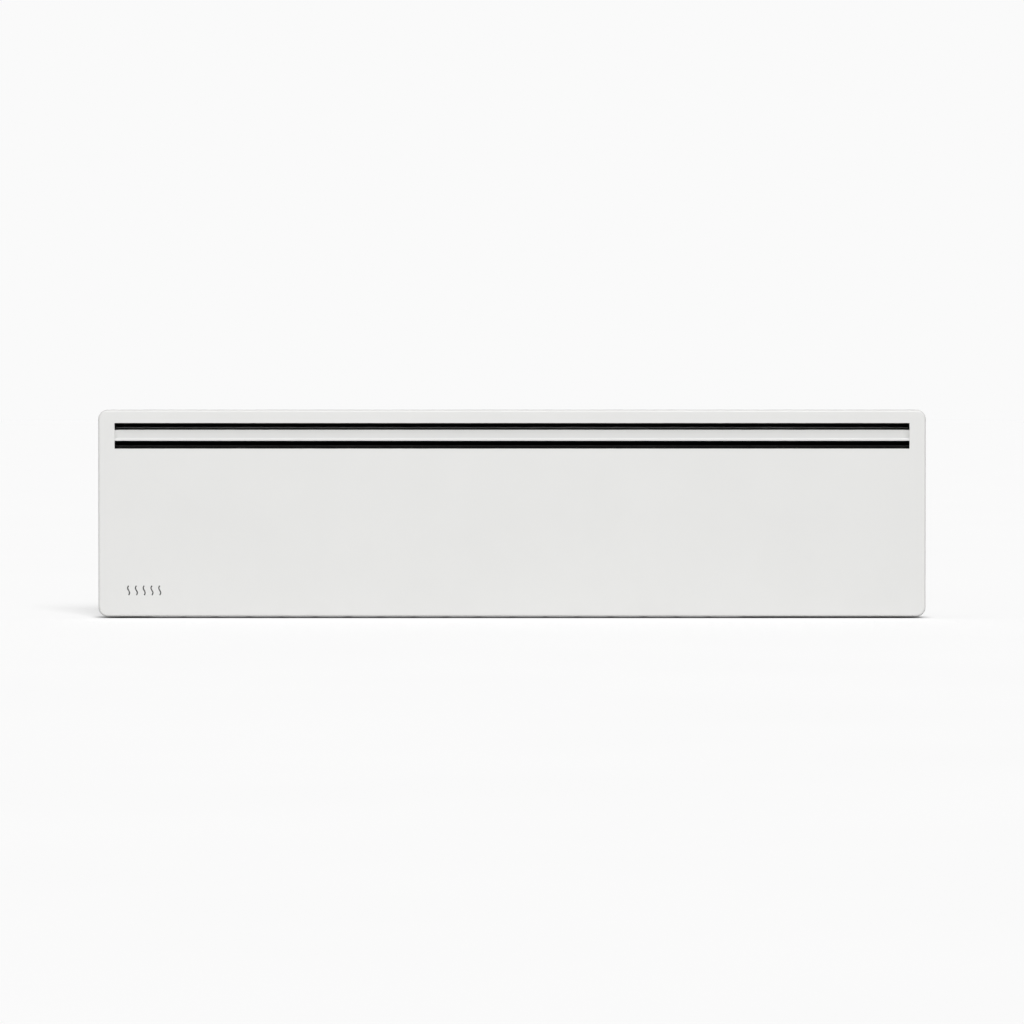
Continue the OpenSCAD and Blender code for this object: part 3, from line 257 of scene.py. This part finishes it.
class Finish:
    """One procedural material, with short calls for the nodes that finishes are made from."""

    def __init__(self, name):
        self.material = bpy.data.materials.new(name)
        self.material.use_nodes = True
        self.tree = self.material.node_tree
        self.shader = self.tree.nodes["Principled BSDF"]
        self.place = self.tree.nodes.new("ShaderNodeTexCoord").outputs["Object"]

    def add(self, kind, **settings):
        """A new node with the given settings."""
        node = self.tree.nodes.new(kind)
        for key, value in settings.items():
            setattr(node, key, value)
        return node

    def stretched(self, stretch):
        """Object coordinates, scaled along each axis."""
        mapping = self.add("ShaderNodeMapping")
        mapping.inputs["Scale"].default_value = stretch
        self.tree.links.new(self.place, mapping.inputs["Vector"])
        return mapping.outputs["Vector"]

    def noise(self, scale, detail=3, stretch=(1, 1, 1)):
        """Soft noise in object coordinates."""
        node = self.add("ShaderNodeTexNoise")
        node.inputs["Scale"].default_value = scale
        node.inputs["Detail"].default_value = detail
        self.tree.links.new(self.stretched(stretch), node.inputs["Vector"])
        return node.outputs["Fac"]

    def cells(self, scale):
        """Cells with a plain random colour each."""
        node = self.add("ShaderNodeTexVoronoi")
        node.inputs["Scale"].default_value = scale
        self.tree.links.new(self.place, node.inputs["Vector"])
        return node.outputs["Color"]

    def between(self, amount, low, high, start=0.35, end=0.65):
        """A number that runs from low to high as amount goes from start to end."""
        node = self.add("ShaderNodeMapRange")
        node.inputs["From Min"].default_value = start
        node.inputs["From Max"].default_value = end
        node.inputs["To Min"].default_value = low
        node.inputs["To Max"].default_value = high
        self.tree.links.new(amount, node.inputs["Value"])
        return node.outputs["Result"]

    def tint(self, amount, dark, light, start=0.35, end=0.65):
        """A colour that runs from dark to light as amount goes from start to end."""
        node = self.add("ShaderNodeValToRGB")
        node.color_ramp.elements[0].position = start
        node.color_ramp.elements[0].color = (*dark, 1)
        node.color_ramp.elements[1].position = end
        node.color_ramp.elements[1].color = (*light, 1)
        self.tree.links.new(amount, node.inputs["Fac"])
        return node.outputs["Color"]

    def mix(self, amount, first, second):
        """The first colour where amount is 0 and the second where it is 1."""
        node = self.add("ShaderNodeMix", data_type="RGBA")
        self.tree.links.new(amount, node.inputs["Factor"])
        self.tree.links.new(first, node.inputs["A"])
        if isinstance(second, tuple):
            node.inputs["B"].default_value = (*second, 1)
        else:
            self.tree.links.new(second, node.inputs["B"])
        return node.outputs["Result"]

    def times(self, first, second):
        """The product of two numbers."""
        node = self.add("ShaderNodeMath", operation="MULTIPLY")
        self.tree.links.new(first, node.inputs[0])
        self.tree.links.new(second, node.inputs[1])
        return node.outputs["Value"]

    def bump(self, height, depth, strength=1.0, under=None):
        """Relief of that depth in metres, on top of another relief if one is given."""
        node = self.add("ShaderNodeBump")
        node.inputs["Strength"].default_value = strength
        node.inputs["Distance"].default_value = depth
        self.tree.links.new(height, node.inputs["Height"])
        if under is not None:
            self.tree.links.new(under, node.inputs["Normal"])
        return node.outputs["Normal"]

    def wear_and_highlight_edges(self, radius):
        """1 on outer edges and corners, 0 on open faces."""
        rounded = self.add("ShaderNodeBevel", samples=4)
        rounded.inputs["Radius"].default_value = radius
        face = self.add("ShaderNodeNewGeometry")
        dot = self.add("ShaderNodeVectorMath", operation="DOT_PRODUCT")
        self.tree.links.new(rounded.outputs["Normal"], dot.inputs[0])
        self.tree.links.new(face.outputs["True Normal"], dot.inputs[1])
        return self.between(dot.outputs["Value"], 1, 0, 0.80, 0.97)

    def use(self, name, value):
        """Links a node's output to a shader socket, or sets the socket's own value."""
        if isinstance(value, bpy.types.NodeSocket):
            self.tree.links.new(value, self.shader.inputs[name])
        else:
            self.shader.inputs[name].default_value = value


def painted(name, dark, light, gloss, coat, grain, depth, wear_and_highlight=None):
    """Powder coat: cloudy colour, patchy gloss, a fine orange peel and, where given, lighter edges,
    which on dark_steel are a painted highlight.
    """
    finish = Finish(name)
    tone = finish.tint(finish.noise(14, 4), dark, light)
    if wear_and_highlight:
        tone = finish.mix(finish.wear_and_highlight_edges(WEAR_AND_HIGHLIGHT_REACH), tone, wear_and_highlight)
    finish.use("Base Color", tone)
    finish.use("Roughness", finish.between(finish.noise(45, 5), gloss[0], gloss[1]))
    peel = finish.bump(finish.noise(grain, 2), depth)
    finish.use("Normal", finish.bump(finish.noise(grain * 3.1, 1), depth * 0.4, under=peel))
    finish.use("Coat Weight", coat)
    finish.use("Coat Roughness", 0.25)
    return finish.material


def bare_metal(name, dark, light, gloss, grain, stretch, depth, wear_and_highlight=None):
    """Bare or plated metal: cloudy tone, drawn or turned lines, and brighter or duller edges."""
    finish = Finish(name)
    tone = finish.tint(finish.noise(60, 4), dark, light)
    if wear_and_highlight:
        tone = finish.mix(finish.wear_and_highlight_edges(WEAR_AND_HIGHLIGHT_REACH), tone, wear_and_highlight)
    finish.use("Base Color", tone)
    lines = finish.noise(grain, 3, stretch)
    finish.use("Roughness", finish.between(lines, gloss[0], gloss[1]))
    finish.use("Normal", finish.bump(lines, depth))
    finish.use("Metallic", 1.0)
    return finish.material


def zinc_plate(name):
    """Zinc plated sheet: a faint spangle of cells, clouded roughness and duller scuffs."""
    finish = Finish(name)
    spangle = finish.tint(finish.cells(260), (0.55, 0.56, 0.57), (0.66, 0.67, 0.68), 0.1, 0.9)
    scuffs = finish.between(finish.noise(35, 6), 0, 0.5, 0.55, 0.75)
    worn = finish.mix(scuffs, spangle, (0.42, 0.42, 0.41))
    finish.use("Base Color", worn)
    finish.use("Roughness", finish.between(finish.noise(120, 4), 0.30, 0.52))
    finish.use("Normal", finish.bump(finish.noise(800, 3, (1, 1, 6)), 0.004 * MM))
    finish.use("Metallic", 1.0)
    return finish.material


def moulded(name, dark, light, gloss, spark=1500, depth=0.02 * MM):
    """Moulded plastic: even colour with slight flow marks and a fine spark-eroded texture."""
    finish = Finish(name)
    flow = finish.noise(25, 3, (1, 1, 0.4))
    finish.use("Base Color", finish.tint(flow, dark, light))
    finish.use("Roughness", finish.between(finish.noise(spark * 0.5, 3), gloss[0], gloss[1]))
    finish.use("Normal", finish.bump(finish.noise(spark, 2), depth, 0.7))
    finish.use("Specular IOR Level", 0.45)
    return finish.material


def rubber(name):
    """Matt black rubber with a greyish bloom."""
    finish = Finish(name)
    bloom = finish.noise(160, 5)
    finish.use("Base Color", finish.tint(bloom, (0.012, 0.012, 0.012), (0.03, 0.03, 0.029)))
    finish.use("Roughness", finish.between(bloom, 0.62, 0.85))
    finish.use("Normal", finish.bump(finish.noise(2200, 2), 0.03 * MM))
    return finish.material


def heated_tube(name):
    """Annealed stainless tube with bands of straw and brown oxide."""
    finish = Finish(name)
    bands = finish.noise(22, 4, (1, 3, 3))
    oxide = finish.tint(bands, (0.23, 0.16, 0.10), (0.38, 0.35, 0.30))
    soot = finish.between(finish.noise(90, 5), 0, 0.6, 0.52, 0.72)
    finish.use("Base Color", finish.mix(soot, oxide, (0.12, 0.11, 0.12)))
    finish.use("Roughness", finish.between(finish.noise(200, 4), 0.32, 0.55))
    finish.use("Normal", finish.bump(finish.noise(900, 3, (8, 1, 1)), 0.006 * MM))
    finish.use("Metallic", 1.0)
    return finish.material


def ceramic(name):
    """Unglazed cream ceramic with darker specks."""
    finish = Finish(name)
    specks = finish.between(finish.noise(1400, 2), 0, 1, 0.62, 0.70)
    body = finish.tint(finish.noise(70, 4), (0.80, 0.77, 0.70), (0.88, 0.86, 0.81))
    finish.use("Base Color", finish.mix(specks, body, (0.60, 0.56, 0.48)))
    finish.use("Roughness", finish.between(finish.noise(300, 4), 0.55, 0.75))
    finish.use("Normal", finish.bump(finish.noise(1800, 3), 0.02 * MM))
    return finish.material


def circuit_board(name):
    """Solder resist with lighter copper tracks under it."""
    finish = Finish(name)
    tracks = finish.add("ShaderNodeTexBrick", offset=0.5, squash=1.0)
    tracks.inputs["Scale"].default_value = 120
    tracks.inputs["Mortar Size"].default_value = 0.035
    tracks.inputs["Color1"].default_value = (0.010, 0.115, 0.045, 1)
    tracks.inputs["Color2"].default_value = (0.012, 0.135, 0.055, 1)
    tracks.inputs["Mortar"].default_value = (0.035, 0.26, 0.10, 1)
    turned = finish.add("ShaderNodeMapping")
    turned.inputs["Rotation"].default_value = (math.pi / 2, 0, 0)
    finish.tree.links.new(finish.place, turned.inputs["Vector"])
    finish.tree.links.new(turned.outputs["Vector"], tracks.inputs["Vector"])
    finish.use("Base Color", tracks.outputs["Color"])
    finish.use("Roughness", finish.between(finish.noise(300, 3), 0.22, 0.38))
    finish.use("Normal", finish.bump(tracks.outputs["Fac"], 0.03 * MM))
    finish.use("Coat Weight", 0.5)
    return finish.material


def label_film(name):
    """Satin foil label with a printed frame line and ruled rows, and no lettering."""
    finish = Finish(name)
    parts = finish.add("ShaderNodeSeparateXYZ")
    finish.tree.links.new(finish.place, parts.inputs["Vector"])
    rows = finish.add("ShaderNodeMath", operation="PINGPONG")
    rows.inputs[1].default_value = 4 * MM
    finish.tree.links.new(parts.outputs["Z"], rows.inputs[0])
    ruled = finish.between(rows.outputs["Value"], 1, 0, 0.12 * MM, 0.22 * MM)
    foil = finish.tint(finish.noise(600, 2, (1, 1, 12)), (0.58, 0.59, 0.60), (0.72, 0.73, 0.74))
    finish.use("Base Color", finish.mix(ruled, foil, (0.16, 0.17, 0.18)))
    finish.use("Roughness", finish.between(finish.noise(60, 4), 0.30, 0.42))
    finish.use("Normal", finish.bump(finish.noise(900, 2, (1, 1, 14)), 0.002 * MM))
    finish.use("Metallic", 0.7)
    return finish.material


def indicator_lens(name):
    """Clear green plastic, slightly cloudy."""
    finish = Finish(name)
    depth = finish.noise(400, 2)
    finish.use("Base Color", finish.tint(depth, (0.05, 0.36, 0.08), (0.12, 0.55, 0.16)))
    finish.use("Roughness", finish.between(depth, 0.08, 0.18))
    finish.use("Normal", finish.bump(finish.noise(900, 2), 0.01 * MM))
    finish.use("Transmission Weight", 0.35)
    return finish.material


def cable_skin(name, dark, light):
    """Smooth extruded insulation with faint lengthwise marks."""
    finish = Finish(name)
    marks = finish.noise(120, 4)
    finish.use("Base Color", finish.tint(marks, dark, light))
    finish.use("Roughness", finish.between(marks, 0.34, 0.52))
    finish.use("Normal", finish.bump(finish.noise(1300, 2), 0.01 * MM))
    return finish.material


EVEN = (1, 1, 1)
ALONG_X = (0.06, 1, 1)
ALONG_Z = (1, 1, 0.06)
materials = {
    "white_paint": painted("white_paint", (0.715, 0.714, 0.702), (0.725, 0.724, 0.712),
                           gloss=(0.36, 0.46), coat=0.15, grain=620, depth=0.020 * MM),
    "bracket_steel": painted("bracket_steel", (0.56, 0.57, 0.57), (0.62, 0.63, 0.63),
                             gloss=(0.42, 0.55), coat=0.05, grain=800, depth=0.030 * MM),
    # dark_steel: its near-black colour stands in for the shade inside the heater, a painted shade; its
    # lighter edge colour is a painted highlight
    "dark_steel": painted("dark_steel", (0.009, 0.009, 0.009), (0.015, 0.015, 0.014),
                          gloss=(0.75, 0.88), coat=0.0, grain=1200, depth=0.030 * MM,
                          wear_and_highlight=(0.06, 0.06, 0.06)),
    "print_grey": painted("print_grey", (0.040, 0.040, 0.042), (0.060, 0.060, 0.062),
                          gloss=(0.50, 0.62), coat=0.0, grain=1500, depth=0.010 * MM),
    "zinc_steel": zinc_plate("zinc_steel"),
    "rivet_steel": bare_metal("rivet_steel", (0.48, 0.49, 0.50), (0.60, 0.61, 0.62),
                              gloss=(0.28, 0.44), grain=900, stretch=EVEN, depth=0.008 * MM,
                              wear_and_highlight=(0.74, 0.74, 0.74)),
    "spring_steel": bare_metal("spring_steel", (0.44, 0.45, 0.47), (0.55, 0.56, 0.58),
                               gloss=(0.18, 0.34), grain=900, stretch=ALONG_X,
                               depth=0.004 * MM, wear_and_highlight=(0.68, 0.68, 0.69)),
    "pin_steel": bare_metal("pin_steel", (0.52, 0.52, 0.53), (0.64, 0.64, 0.65),
                            gloss=(0.20, 0.34), grain=1400, stretch=(6, 1, 1),
                            depth=0.004 * MM, wear_and_highlight=(0.75, 0.75, 0.75)),
    "nickel_steel": bare_metal("nickel_steel", (0.60, 0.59, 0.55), (0.72, 0.71, 0.67),
                               gloss=(0.16, 0.30), grain=1000, stretch=(4, 1, 1),
                               depth=0.003 * MM, wear_and_highlight=(0.80, 0.79, 0.76)),
    "contact_brass": bare_metal("contact_brass", (0.62, 0.46, 0.20), (0.78, 0.61, 0.31),
                                gloss=(0.20, 0.38), grain=900, stretch=ALONG_X,
                                depth=0.004 * MM, wear_and_highlight=(0.88, 0.74, 0.45)),
    "fin_aluminium": bare_metal("fin_aluminium", (0.62, 0.63, 0.64), (0.74, 0.75, 0.76),
                                gloss=(0.26, 0.42), grain=700, stretch=ALONG_Z,
                                depth=0.005 * MM),
    "element_steel": heated_tube("element_steel"),
    "ceramic_white": ceramic("ceramic_white"),
    "white_plastic": moulded("white_plastic", (0.69, 0.69, 0.675), (0.72, 0.72, 0.705),
                             gloss=(0.40, 0.52)),
    "grey_plastic": moulded("grey_plastic", (0.36, 0.37, 0.37), (0.42, 0.43, 0.43),
                            gloss=(0.38, 0.50)),
    "natural_plastic": moulded("natural_plastic", (0.66, 0.64, 0.57), (0.74, 0.72, 0.65),
                               gloss=(0.36, 0.48)),
    "black_plastic": moulded("black_plastic", (0.015, 0.015, 0.016), (0.026, 0.026, 0.027),
                             gloss=(0.34, 0.48)),
    "button_grey": moulded("button_grey", (0.23, 0.235, 0.24), (0.28, 0.285, 0.29),
                           gloss=(0.36, 0.48)),
    "board_green": circuit_board("board_green"),
    "led_green": indicator_lens("led_green"),
    "black_rubber": rubber("black_rubber"),
    "label_foil": label_film("label_foil"),
    "wire_brown": cable_skin("wire_brown", (0.16, 0.065, 0.025), (0.22, 0.09, 0.035)),
    "wire_blue": cable_skin("wire_blue", (0.02, 0.12, 0.36), (0.04, 0.18, 0.46)),
    "wire_green": cable_skin("wire_green", (0.10, 0.34, 0.04), (0.55, 0.52, 0.05)),
}


# lighter grey for the louvre strip's rolled edge, a painted highlight of the light that catches it
painted_highlight_grey = painted("painted_highlight_grey", (0.26, 0.26, 0.26), (0.40, 0.40, 0.40),
                      gloss=(0.45, 0.60), coat=0.0, grain=900, depth=0.010 * MM)


# ---------- sheet parts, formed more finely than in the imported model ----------


def front_cover_piece():
    """Pressed front sheet: folded edges, rounded corners and the long air outlet."""
    bm = bmesh.new()
    y_fold = Y_FRONT + FOLD_R
    outer = arc_profile((FOLD_R, y_fold), FOLD_R, 180, 270)
    inner = arc_profile((FOLD_R, y_fold), FOLD_R - COVER_T, 270, 180)
    rings = [ring(bm, 0, Y_SEAM)]
    rings += [ring(bm, inset, y) for inset, y in outer]
    join_rings(bm, rings)
    hem = [ring(bm, inset, y) for inset, y in inner] + [ring(bm, COVER_T, Y_SEAM)]
    join_rings(bm, hem)
    join_rings(bm, [hem[-1], rings[0]])
    front_hole = rectangle_loop(bm, OUTLET_HALF, SLOT_BOTTOM, SLOT_TOP, Y_FRONT)
    back_hole = rectangle_loop(bm, OUTLET_HALF, SLOT_BOTTOM, SLOT_TOP, Y_FRONT + COVER_T)
    fill_between(bm, rings[-1], front_hole)
    fill_between(bm, hem[0], back_hole)
    join_rings(bm, [front_hole, back_hole])
    piece = make_piece("cover_sheet", bm, "heater", "white_paint", ["front_cover", "cover_ends"])
    return soften(piece, SHEET_EDGE, merge=False, angle=50)


def outlet_blade_piece():
    """Flat lip with the blade that leans back behind the upper slot and whose ends curve forward."""
    slope = Vector((BLADE_RUN, BLADE_RISE)).normalized()
    behind = Vector((slope.y, -slope.x)) * COVER_T / 2
    y_middle = Y_FRONT + COVER_T / 2
    tip = Vector((Y_FRONT + BLADE_RUN, LIP_TOP + BLADE_RISE)) + behind
    bend_z = tip.y - (tip.x - y_middle) * slope.y / slope.x
    bend_r = 0.8 * MM
    line = fillet([(y_middle, LIP_BOTTOM), (y_middle, bend_z), tuple(tip)], bend_r)
    stations = []
    for i in range(END_STEPS + 1):
        t = i / END_STEPS
        stations.append((BLADE_END * t - OUTLET_HALF, math.sin(math.pi / 2 * t)))
    stations += [(-x, depth) for x, depth in reversed(stations)]
    sections = []
    for x, depth in stations:
        bent = [Vector((y_middle + (y - y_middle) * depth, z)) for y, z in line]
        sections.append((x, strip_section(bent, COVER_T)))
    bm = bmesh.new()
    loft_along_x(bm, sections)
    piece = make_piece("outlet_louvre", bm, "heater", "white_paint", ["front_cover"])
    return soften(piece, SHEET_EDGE, merge=False, angle=50)


def cut(piece, boxes):
    """Cuts boxes, given by their lowest and highest corners, out of a piece's mesh."""
    bm = bmesh.new()
    for low, high in boxes:
        made = bmesh.ops.create_cube(bm, size=1)["verts"]
        centre = (Vector(low) + Vector(high)) / 2
        size = Vector(high) - Vector(low)
        for vert in made:
            vert.co = Vector(a * b for a, b in zip(vert.co, size)) + centre
    mesh = bpy.data.meshes.new("cutter")
    bm.to_mesh(mesh)
    bm.free()
    cutter = bpy.data.objects.new("cutter", mesh)
    bpy.context.scene.collection.objects.link(cutter)
    boolean = piece.modifiers.new("cut", "BOOLEAN")
    boolean.operation = "DIFFERENCE"
    boolean.object = cutter
    boolean.solver = "EXACT"
    bpy.context.view_layer.update()
    shown = piece.evaluated_get(bpy.context.evaluated_depsgraph_get())
    piece.data = bpy.data.meshes.new_from_object(shown)
    piece.modifiers.clear()
    bpy.data.objects.remove(cutter)


def add_bead(bm, length, width, height, centre_z):
    """Stiffening bead pressed out of the rear wall, with soft shoulders."""
    shoulder, sunk, steps = 3.2 * MM, 0.02 * MM, 6
    rings = []
    for i in range(steps + 1):
        t = i / steps
        rise = height * (0.5 - 0.5 * math.cos(math.pi * t))
        rings.append(ring(bm, shoulder * t, Y_BACK + rise - sunk, length, width, width / 2, centre_z))
    join_rings(bm, rings)
    bm.faces.new(rings[-1])


def rear_casing_piece():
    """Rear pan with its joggled lip, the cassette's notch and the inlet opening."""
    bm = bmesh.new()
    start = Y_SEAM + SEAM_GAP
    lip = COVER_T + SEAM_GAP
    y_fold = Y_BACK - FOLD_R
    outer = arc_profile((FOLD_R, y_fold), FOLD_R, 180, 90)
    inner = arc_profile((FOLD_R, y_fold), FOLD_R - CASING_T, 90, 180)
    profile = [(0, start)] + outer
    inside = inner + [(CASING_T, start + CASING_T), (lip + CASING_T, start + CASING_T)]
    inside += [(lip + CASING_T, Y_SEAM - LIP_DEPTH), (lip, Y_SEAM - LIP_DEPTH), (lip, start)]
    rings = [ring(bm, inset, y) for inset, y in profile]
    walls = [ring(bm, inset, y) for inset, y in inside]
    join_rings(bm, rings)
    join_rings(bm, walls)
    join_rings(bm, [walls[-1], rings[0]])
    bm.faces.new(rings[-1])
    bm.faces.new(walls[0])
    piece = make_piece("casing_sheet", bm, "heater", "white_paint", ["rear_casing"])
    margin = POCKET_FLANGE + CASING_T
    past_wall, past_floor = 2 * MM, 0.4 * MM
    notch = ((pocket_low.x, pocket_low.y + CASING_T, pocket_low.z + margin),
             (WIDTH, Y_BACK + past_wall, pocket_high.z - margin))
    front_lap, lap = 2 * MM, 3 * MM
    inlet = ((grille_low.x + lap, grille_low.y + front_lap, -MM),
             (grille_high.x - lap, grille_high.y - lap, CASING_T + past_floor))
    cut(piece, [notch, inlet])
    return soften(piece, 0.15 * MM, merge=False, angle=50)


def casing_beads_piece():
    """The two long stiffening beads on the rear wall."""
    bm = bmesh.new()
    for centre_z in BEAD_HEIGHTS:
        add_bead(bm, BEAD_LENGTH, BEAD_WIDTH, BEAD_RISE, centre_z)
    piece = make_piece("casing_beads", bm, "heater", "white_paint", ["rear_casing"])
    return soften(piece, 0.05 * MM, merge=False, angle=60)


def front_mark_piece():
    """Five wavy heat lines printed at the lower left, with full, even strokes."""
    low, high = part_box("front_mark")
    stroke, sway, count, steps = 1.2 * MM, 0.9 * MM, 5, 24
    first = low.x + sway + stroke / 2
    pitch = (high.x - low.x - 2 * sway - stroke) / (count - 1)
    bm = bmesh.new()
    for i in range(count):
        line = []
        for j in range(steps + 1):
            t = j / steps
            sideways = sway * math.sin(2 * math.pi * t)
            line.append(Vector((first + i * pitch + sideways, low.z + t * (high.z - low.z))))
        outline = strip_section(line, stroke)
        front = [bm.verts.new((x, low.y, z)) for x, z in outline]
        back = [bm.verts.new((x, Y_FRONT, z)) for x, z in outline]
        join_rings(bm, [front, back])
        bm.faces.new(front)
        bm.faces.new(back[::-1])
    return make_piece("printed_mark", bm, "heater", "print_grey", ["front_mark"])


def inner_louvre_piece():
    """Strip behind the outlet, near-black as a painted shade, whose upper edge is rolled and coloured a
    lighter grey as a painted highlight.
    """
    thickness, foot_height, bend_r = 0.5 * MM, 4 * MM, 0.8 * MM
    roll_r, roll_drop, steps = 0.8 * MM, 1.25 * MM, 16
    foot = (louvre_low.y + thickness / 2, louvre_low.z + foot_height)
    roll = Vector((louvre_high.y - roll_r, louvre_high.z - roll_drop))
    line = fillet([(foot[0], louvre_low.z), foot, tuple(roll)], bend_r)
    bm = bmesh.new()
    flat = strip_section(line, thickness)
    loft_along_x(bm, [(-louvre_high.x, flat), (louvre_high.x, flat)])
    plain_faces = len(bm.faces)
    section = []
    for i in range(steps):
        angle = 2 * math.pi * i / steps
        section.append((roll.x + roll_r * math.cos(angle), roll.y + roll_r * math.sin(angle)))
    loft_along_x(bm, [(-louvre_high.x, section), (louvre_high.x, section)])
    bm.faces.ensure_lookup_table()
    for face in bm.faces[plain_faces:]:
        face.material_index = 1
    piece = make_piece("louvre_strip", bm, "heater", "dark_steel", ["inner_louvre"])
    # the rolled edge takes the lighter grey, a painted highlight
    piece.data.materials.append(painted_highlight_grey)
    return soften(piece, 0.05 * MM, merge=False, angle=60)


front_cover_piece()
outlet_blade_piece()
rear_casing_piece()
casing_beads_piece()
inner_louvre_piece()
front_mark_piece()

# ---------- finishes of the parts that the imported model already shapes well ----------

SHARP_NODES = {"rating_label", "button_spring", "wires_live", "wires_neutral"}
EDGE_WIDTH = {"cassette_housing": 0.6 * MM, "cassette_lid": 0.3 * MM, "dial_knob": 0.4 * MM,
              "rocker": 0.4 * MM, "switch_body": 0.4 * MM, "release_button": 0.4 * MM,
              "rear_buffers": 0.5 * MM, "gland_body": 0.4 * MM, "gland_nut": 0.4 * MM,
              "terminal_block": 0.4 * MM, "board_components": 0.3 * MM, "control_board": 0.1 * MM,
              "element_fins": 0.08 * MM, "hinge_pins": 0.4 * MM, "catch_studs": 0.3 * MM}
PLAIN_EDGE = 0.15 * MM
for part in frame["record"]["subparts"]:
    node = frame["nodes"][part["node"]]
    if node.hide_render:
        continue
    node.data.materials.clear()
    node.data.materials.append(materials[part["material_slot"]])
    if part["node"] not in SHARP_NODES:
        soften(node, EDGE_WIDTH.get(part["node"], PLAIN_EDGE))

# ---------- floor, light and camera ----------

BACKGROUND = 0.956
FLOOR_GLOW = 0.50
FLOOR_GAP = 1.6 * MM
# how far the floor's painted contact shadow reaches
CONTACT_REACH = 12 * MM
# each axis adds its share of the surround's brightness, from its low end to its high end
SKY_SHARES = (("X", 0.20, 0.00), ("Y", -0.02, 0.22), ("Z", 0.0, 0.16))


def pale_floor():
    """Large plain floor just under the heater, as bright as the background but with little bounce; its
    glow fades next to and under the heater as a painted contact shadow.
    """
    bm = bmesh.new()
    bmesh.ops.create_grid(bm, x_segments=1, y_segments=1, size=60)
    mesh = bpy.data.meshes.new("floor")
    bm.to_mesh(mesh)
    bm.free()
    floor = bpy.data.objects.new("floor", mesh)
    bpy.context.scene.collection.objects.link(floor)
    floor.location.z = -FLOOR_GAP
    finish = Finish("pale_floor")
    rays = finish.add("ShaderNodeLightPath").outputs["Is Camera Ray"]
    seen = finish.tint(finish.noise(3, 2), (0.595, 0.595, 0.595), (0.605, 0.605, 0.605))
    bounce = finish.tint(finish.noise(3, 2), (0.49, 0.49, 0.49), (0.51, 0.51, 0.51))
    finish.use("Base Color", finish.mix(rays, bounce, seen))
    finish.use("Roughness", 1.0)
    finish.use("Specular IOR Level", 0.0)
    finish.use("Emission Color", (1, 1, 1, 1))
    # painted contact shadow: the floor's glow is dimmed by ambient occlusion near and under the heater
    painted_contact_shade = finish.add("ShaderNodeAmbientOcclusion", samples=8)
    painted_contact_shade.inputs["Distance"].default_value = CONTACT_REACH
    glow = finish.between(painted_contact_shade.outputs["AO"], 0, FLOOR_GLOW, 0, 1)
    finish.use("Emission Strength", finish.times(rays, glow))
    mesh.materials.append(finish.material)


def studio_world():
    """Soft surround: brighter behind, above and on the left; plain and pale to the camera."""
    world = bpy.data.worlds.new("studio")
    bpy.context.scene.world = world
    world.use_nodes = True
    tree = world.node_tree
    tree.nodes.clear()
    place = tree.nodes.new("ShaderNodeTexCoord")
    parts = tree.nodes.new("ShaderNodeSeparateXYZ")
    tree.links.new(place.outputs["Generated"], parts.inputs["Vector"])
    level = None
    for axis, low, high in SKY_SHARES:
        share = tree.nodes.new("ShaderNodeMapRange")
        share.inputs["From Min"].default_value = -1
        share.inputs["From Max"].default_value = 1
        share.inputs["To Min"].default_value = low
        share.inputs["To Max"].default_value = high
        tree.links.new(parts.outputs[axis], share.inputs["Value"])
        if level is None:
            level = share.outputs["Result"]
            continue
        total = tree.nodes.new("ShaderNodeMath")
        total.operation = "ADD"
        tree.links.new(level, total.inputs[0])
        tree.links.new(share.outputs["Result"], total.inputs[1])
        level = total.outputs["Value"]
    lighting = tree.nodes.new("ShaderNodeBackground")
    lighting.inputs["Color"].default_value = (1, 1, 1, 1)
    tree.links.new(level, lighting.inputs["Strength"])
    backdrop = tree.nodes.new("ShaderNodeBackground")
    backdrop.inputs["Color"].default_value = (1, 1, 1, 1)
    backdrop.inputs["Strength"].default_value = BACKGROUND
    rays = tree.nodes.new("ShaderNodeLightPath")
    choose = tree.nodes.new("ShaderNodeMixShader")
    out = tree.nodes.new("ShaderNodeOutputWorld")
    tree.links.new(rays.outputs["Is Camera Ray"], choose.inputs["Fac"])
    tree.links.new(lighting.outputs["Background"], choose.inputs[1])
    tree.links.new(backdrop.outputs["Background"], choose.inputs[2])
    tree.links.new(choose.outputs["Shader"], out.inputs["Surface"])


def sun(name, strength, softness, height, turn):
    """Soft distant light from in front, turn degrees to the right and height degrees up."""
    light = bpy.data.lights.new(name, "SUN")
    light.energy = strength
    light.angle = math.radians(softness)
    lamp = bpy.data.objects.new(name, light)
    bpy.context.scene.collection.objects.link(lamp)
    height, turn = math.radians(height), math.radians(turn)
    towards = Vector((-math.sin(turn) * math.cos(height), math.cos(turn) * math.cos(height),
                      -math.sin(height)))
    lamp.rotation_mode = "QUATERNION"
    lamp.rotation_quaternion = towards.to_track_quat("-Z", "Y")


def camera():
    """Long lens straight in front and a touch above, at the photograph's framing."""
    data = bpy.data.cameras.new("camera")
    data.lens = 200
    data.sensor_width = 36
    data.clip_start = 0.1
    data.clip_end = 200
    eye = bpy.data.objects.new("camera", data)
    bpy.context.scene.collection.objects.link(eye)
    distance, height, lift = 5.5, math.radians(1.1), 1.15 * MM
    aim = Vector((0, Y_FRONT, HEIGHT / 2 + lift))
    eye.location = aim + Vector((0, -distance * math.cos(height), distance * math.sin(height)))
    eye.rotation_mode = "QUATERNION"
    eye.rotation_quaternion = (aim - eye.location).to_track_quat("-Z", "Y")
    bpy.context.scene.camera = eye


pale_floor()
studio_world()
sun("key", strength=2.2, softness=20, height=34, turn=9)
sun("low_key", strength=0.55, softness=12, height=12, turn=0)
camera()
bpy.context.scene.view_settings.view_transform = "Standard"
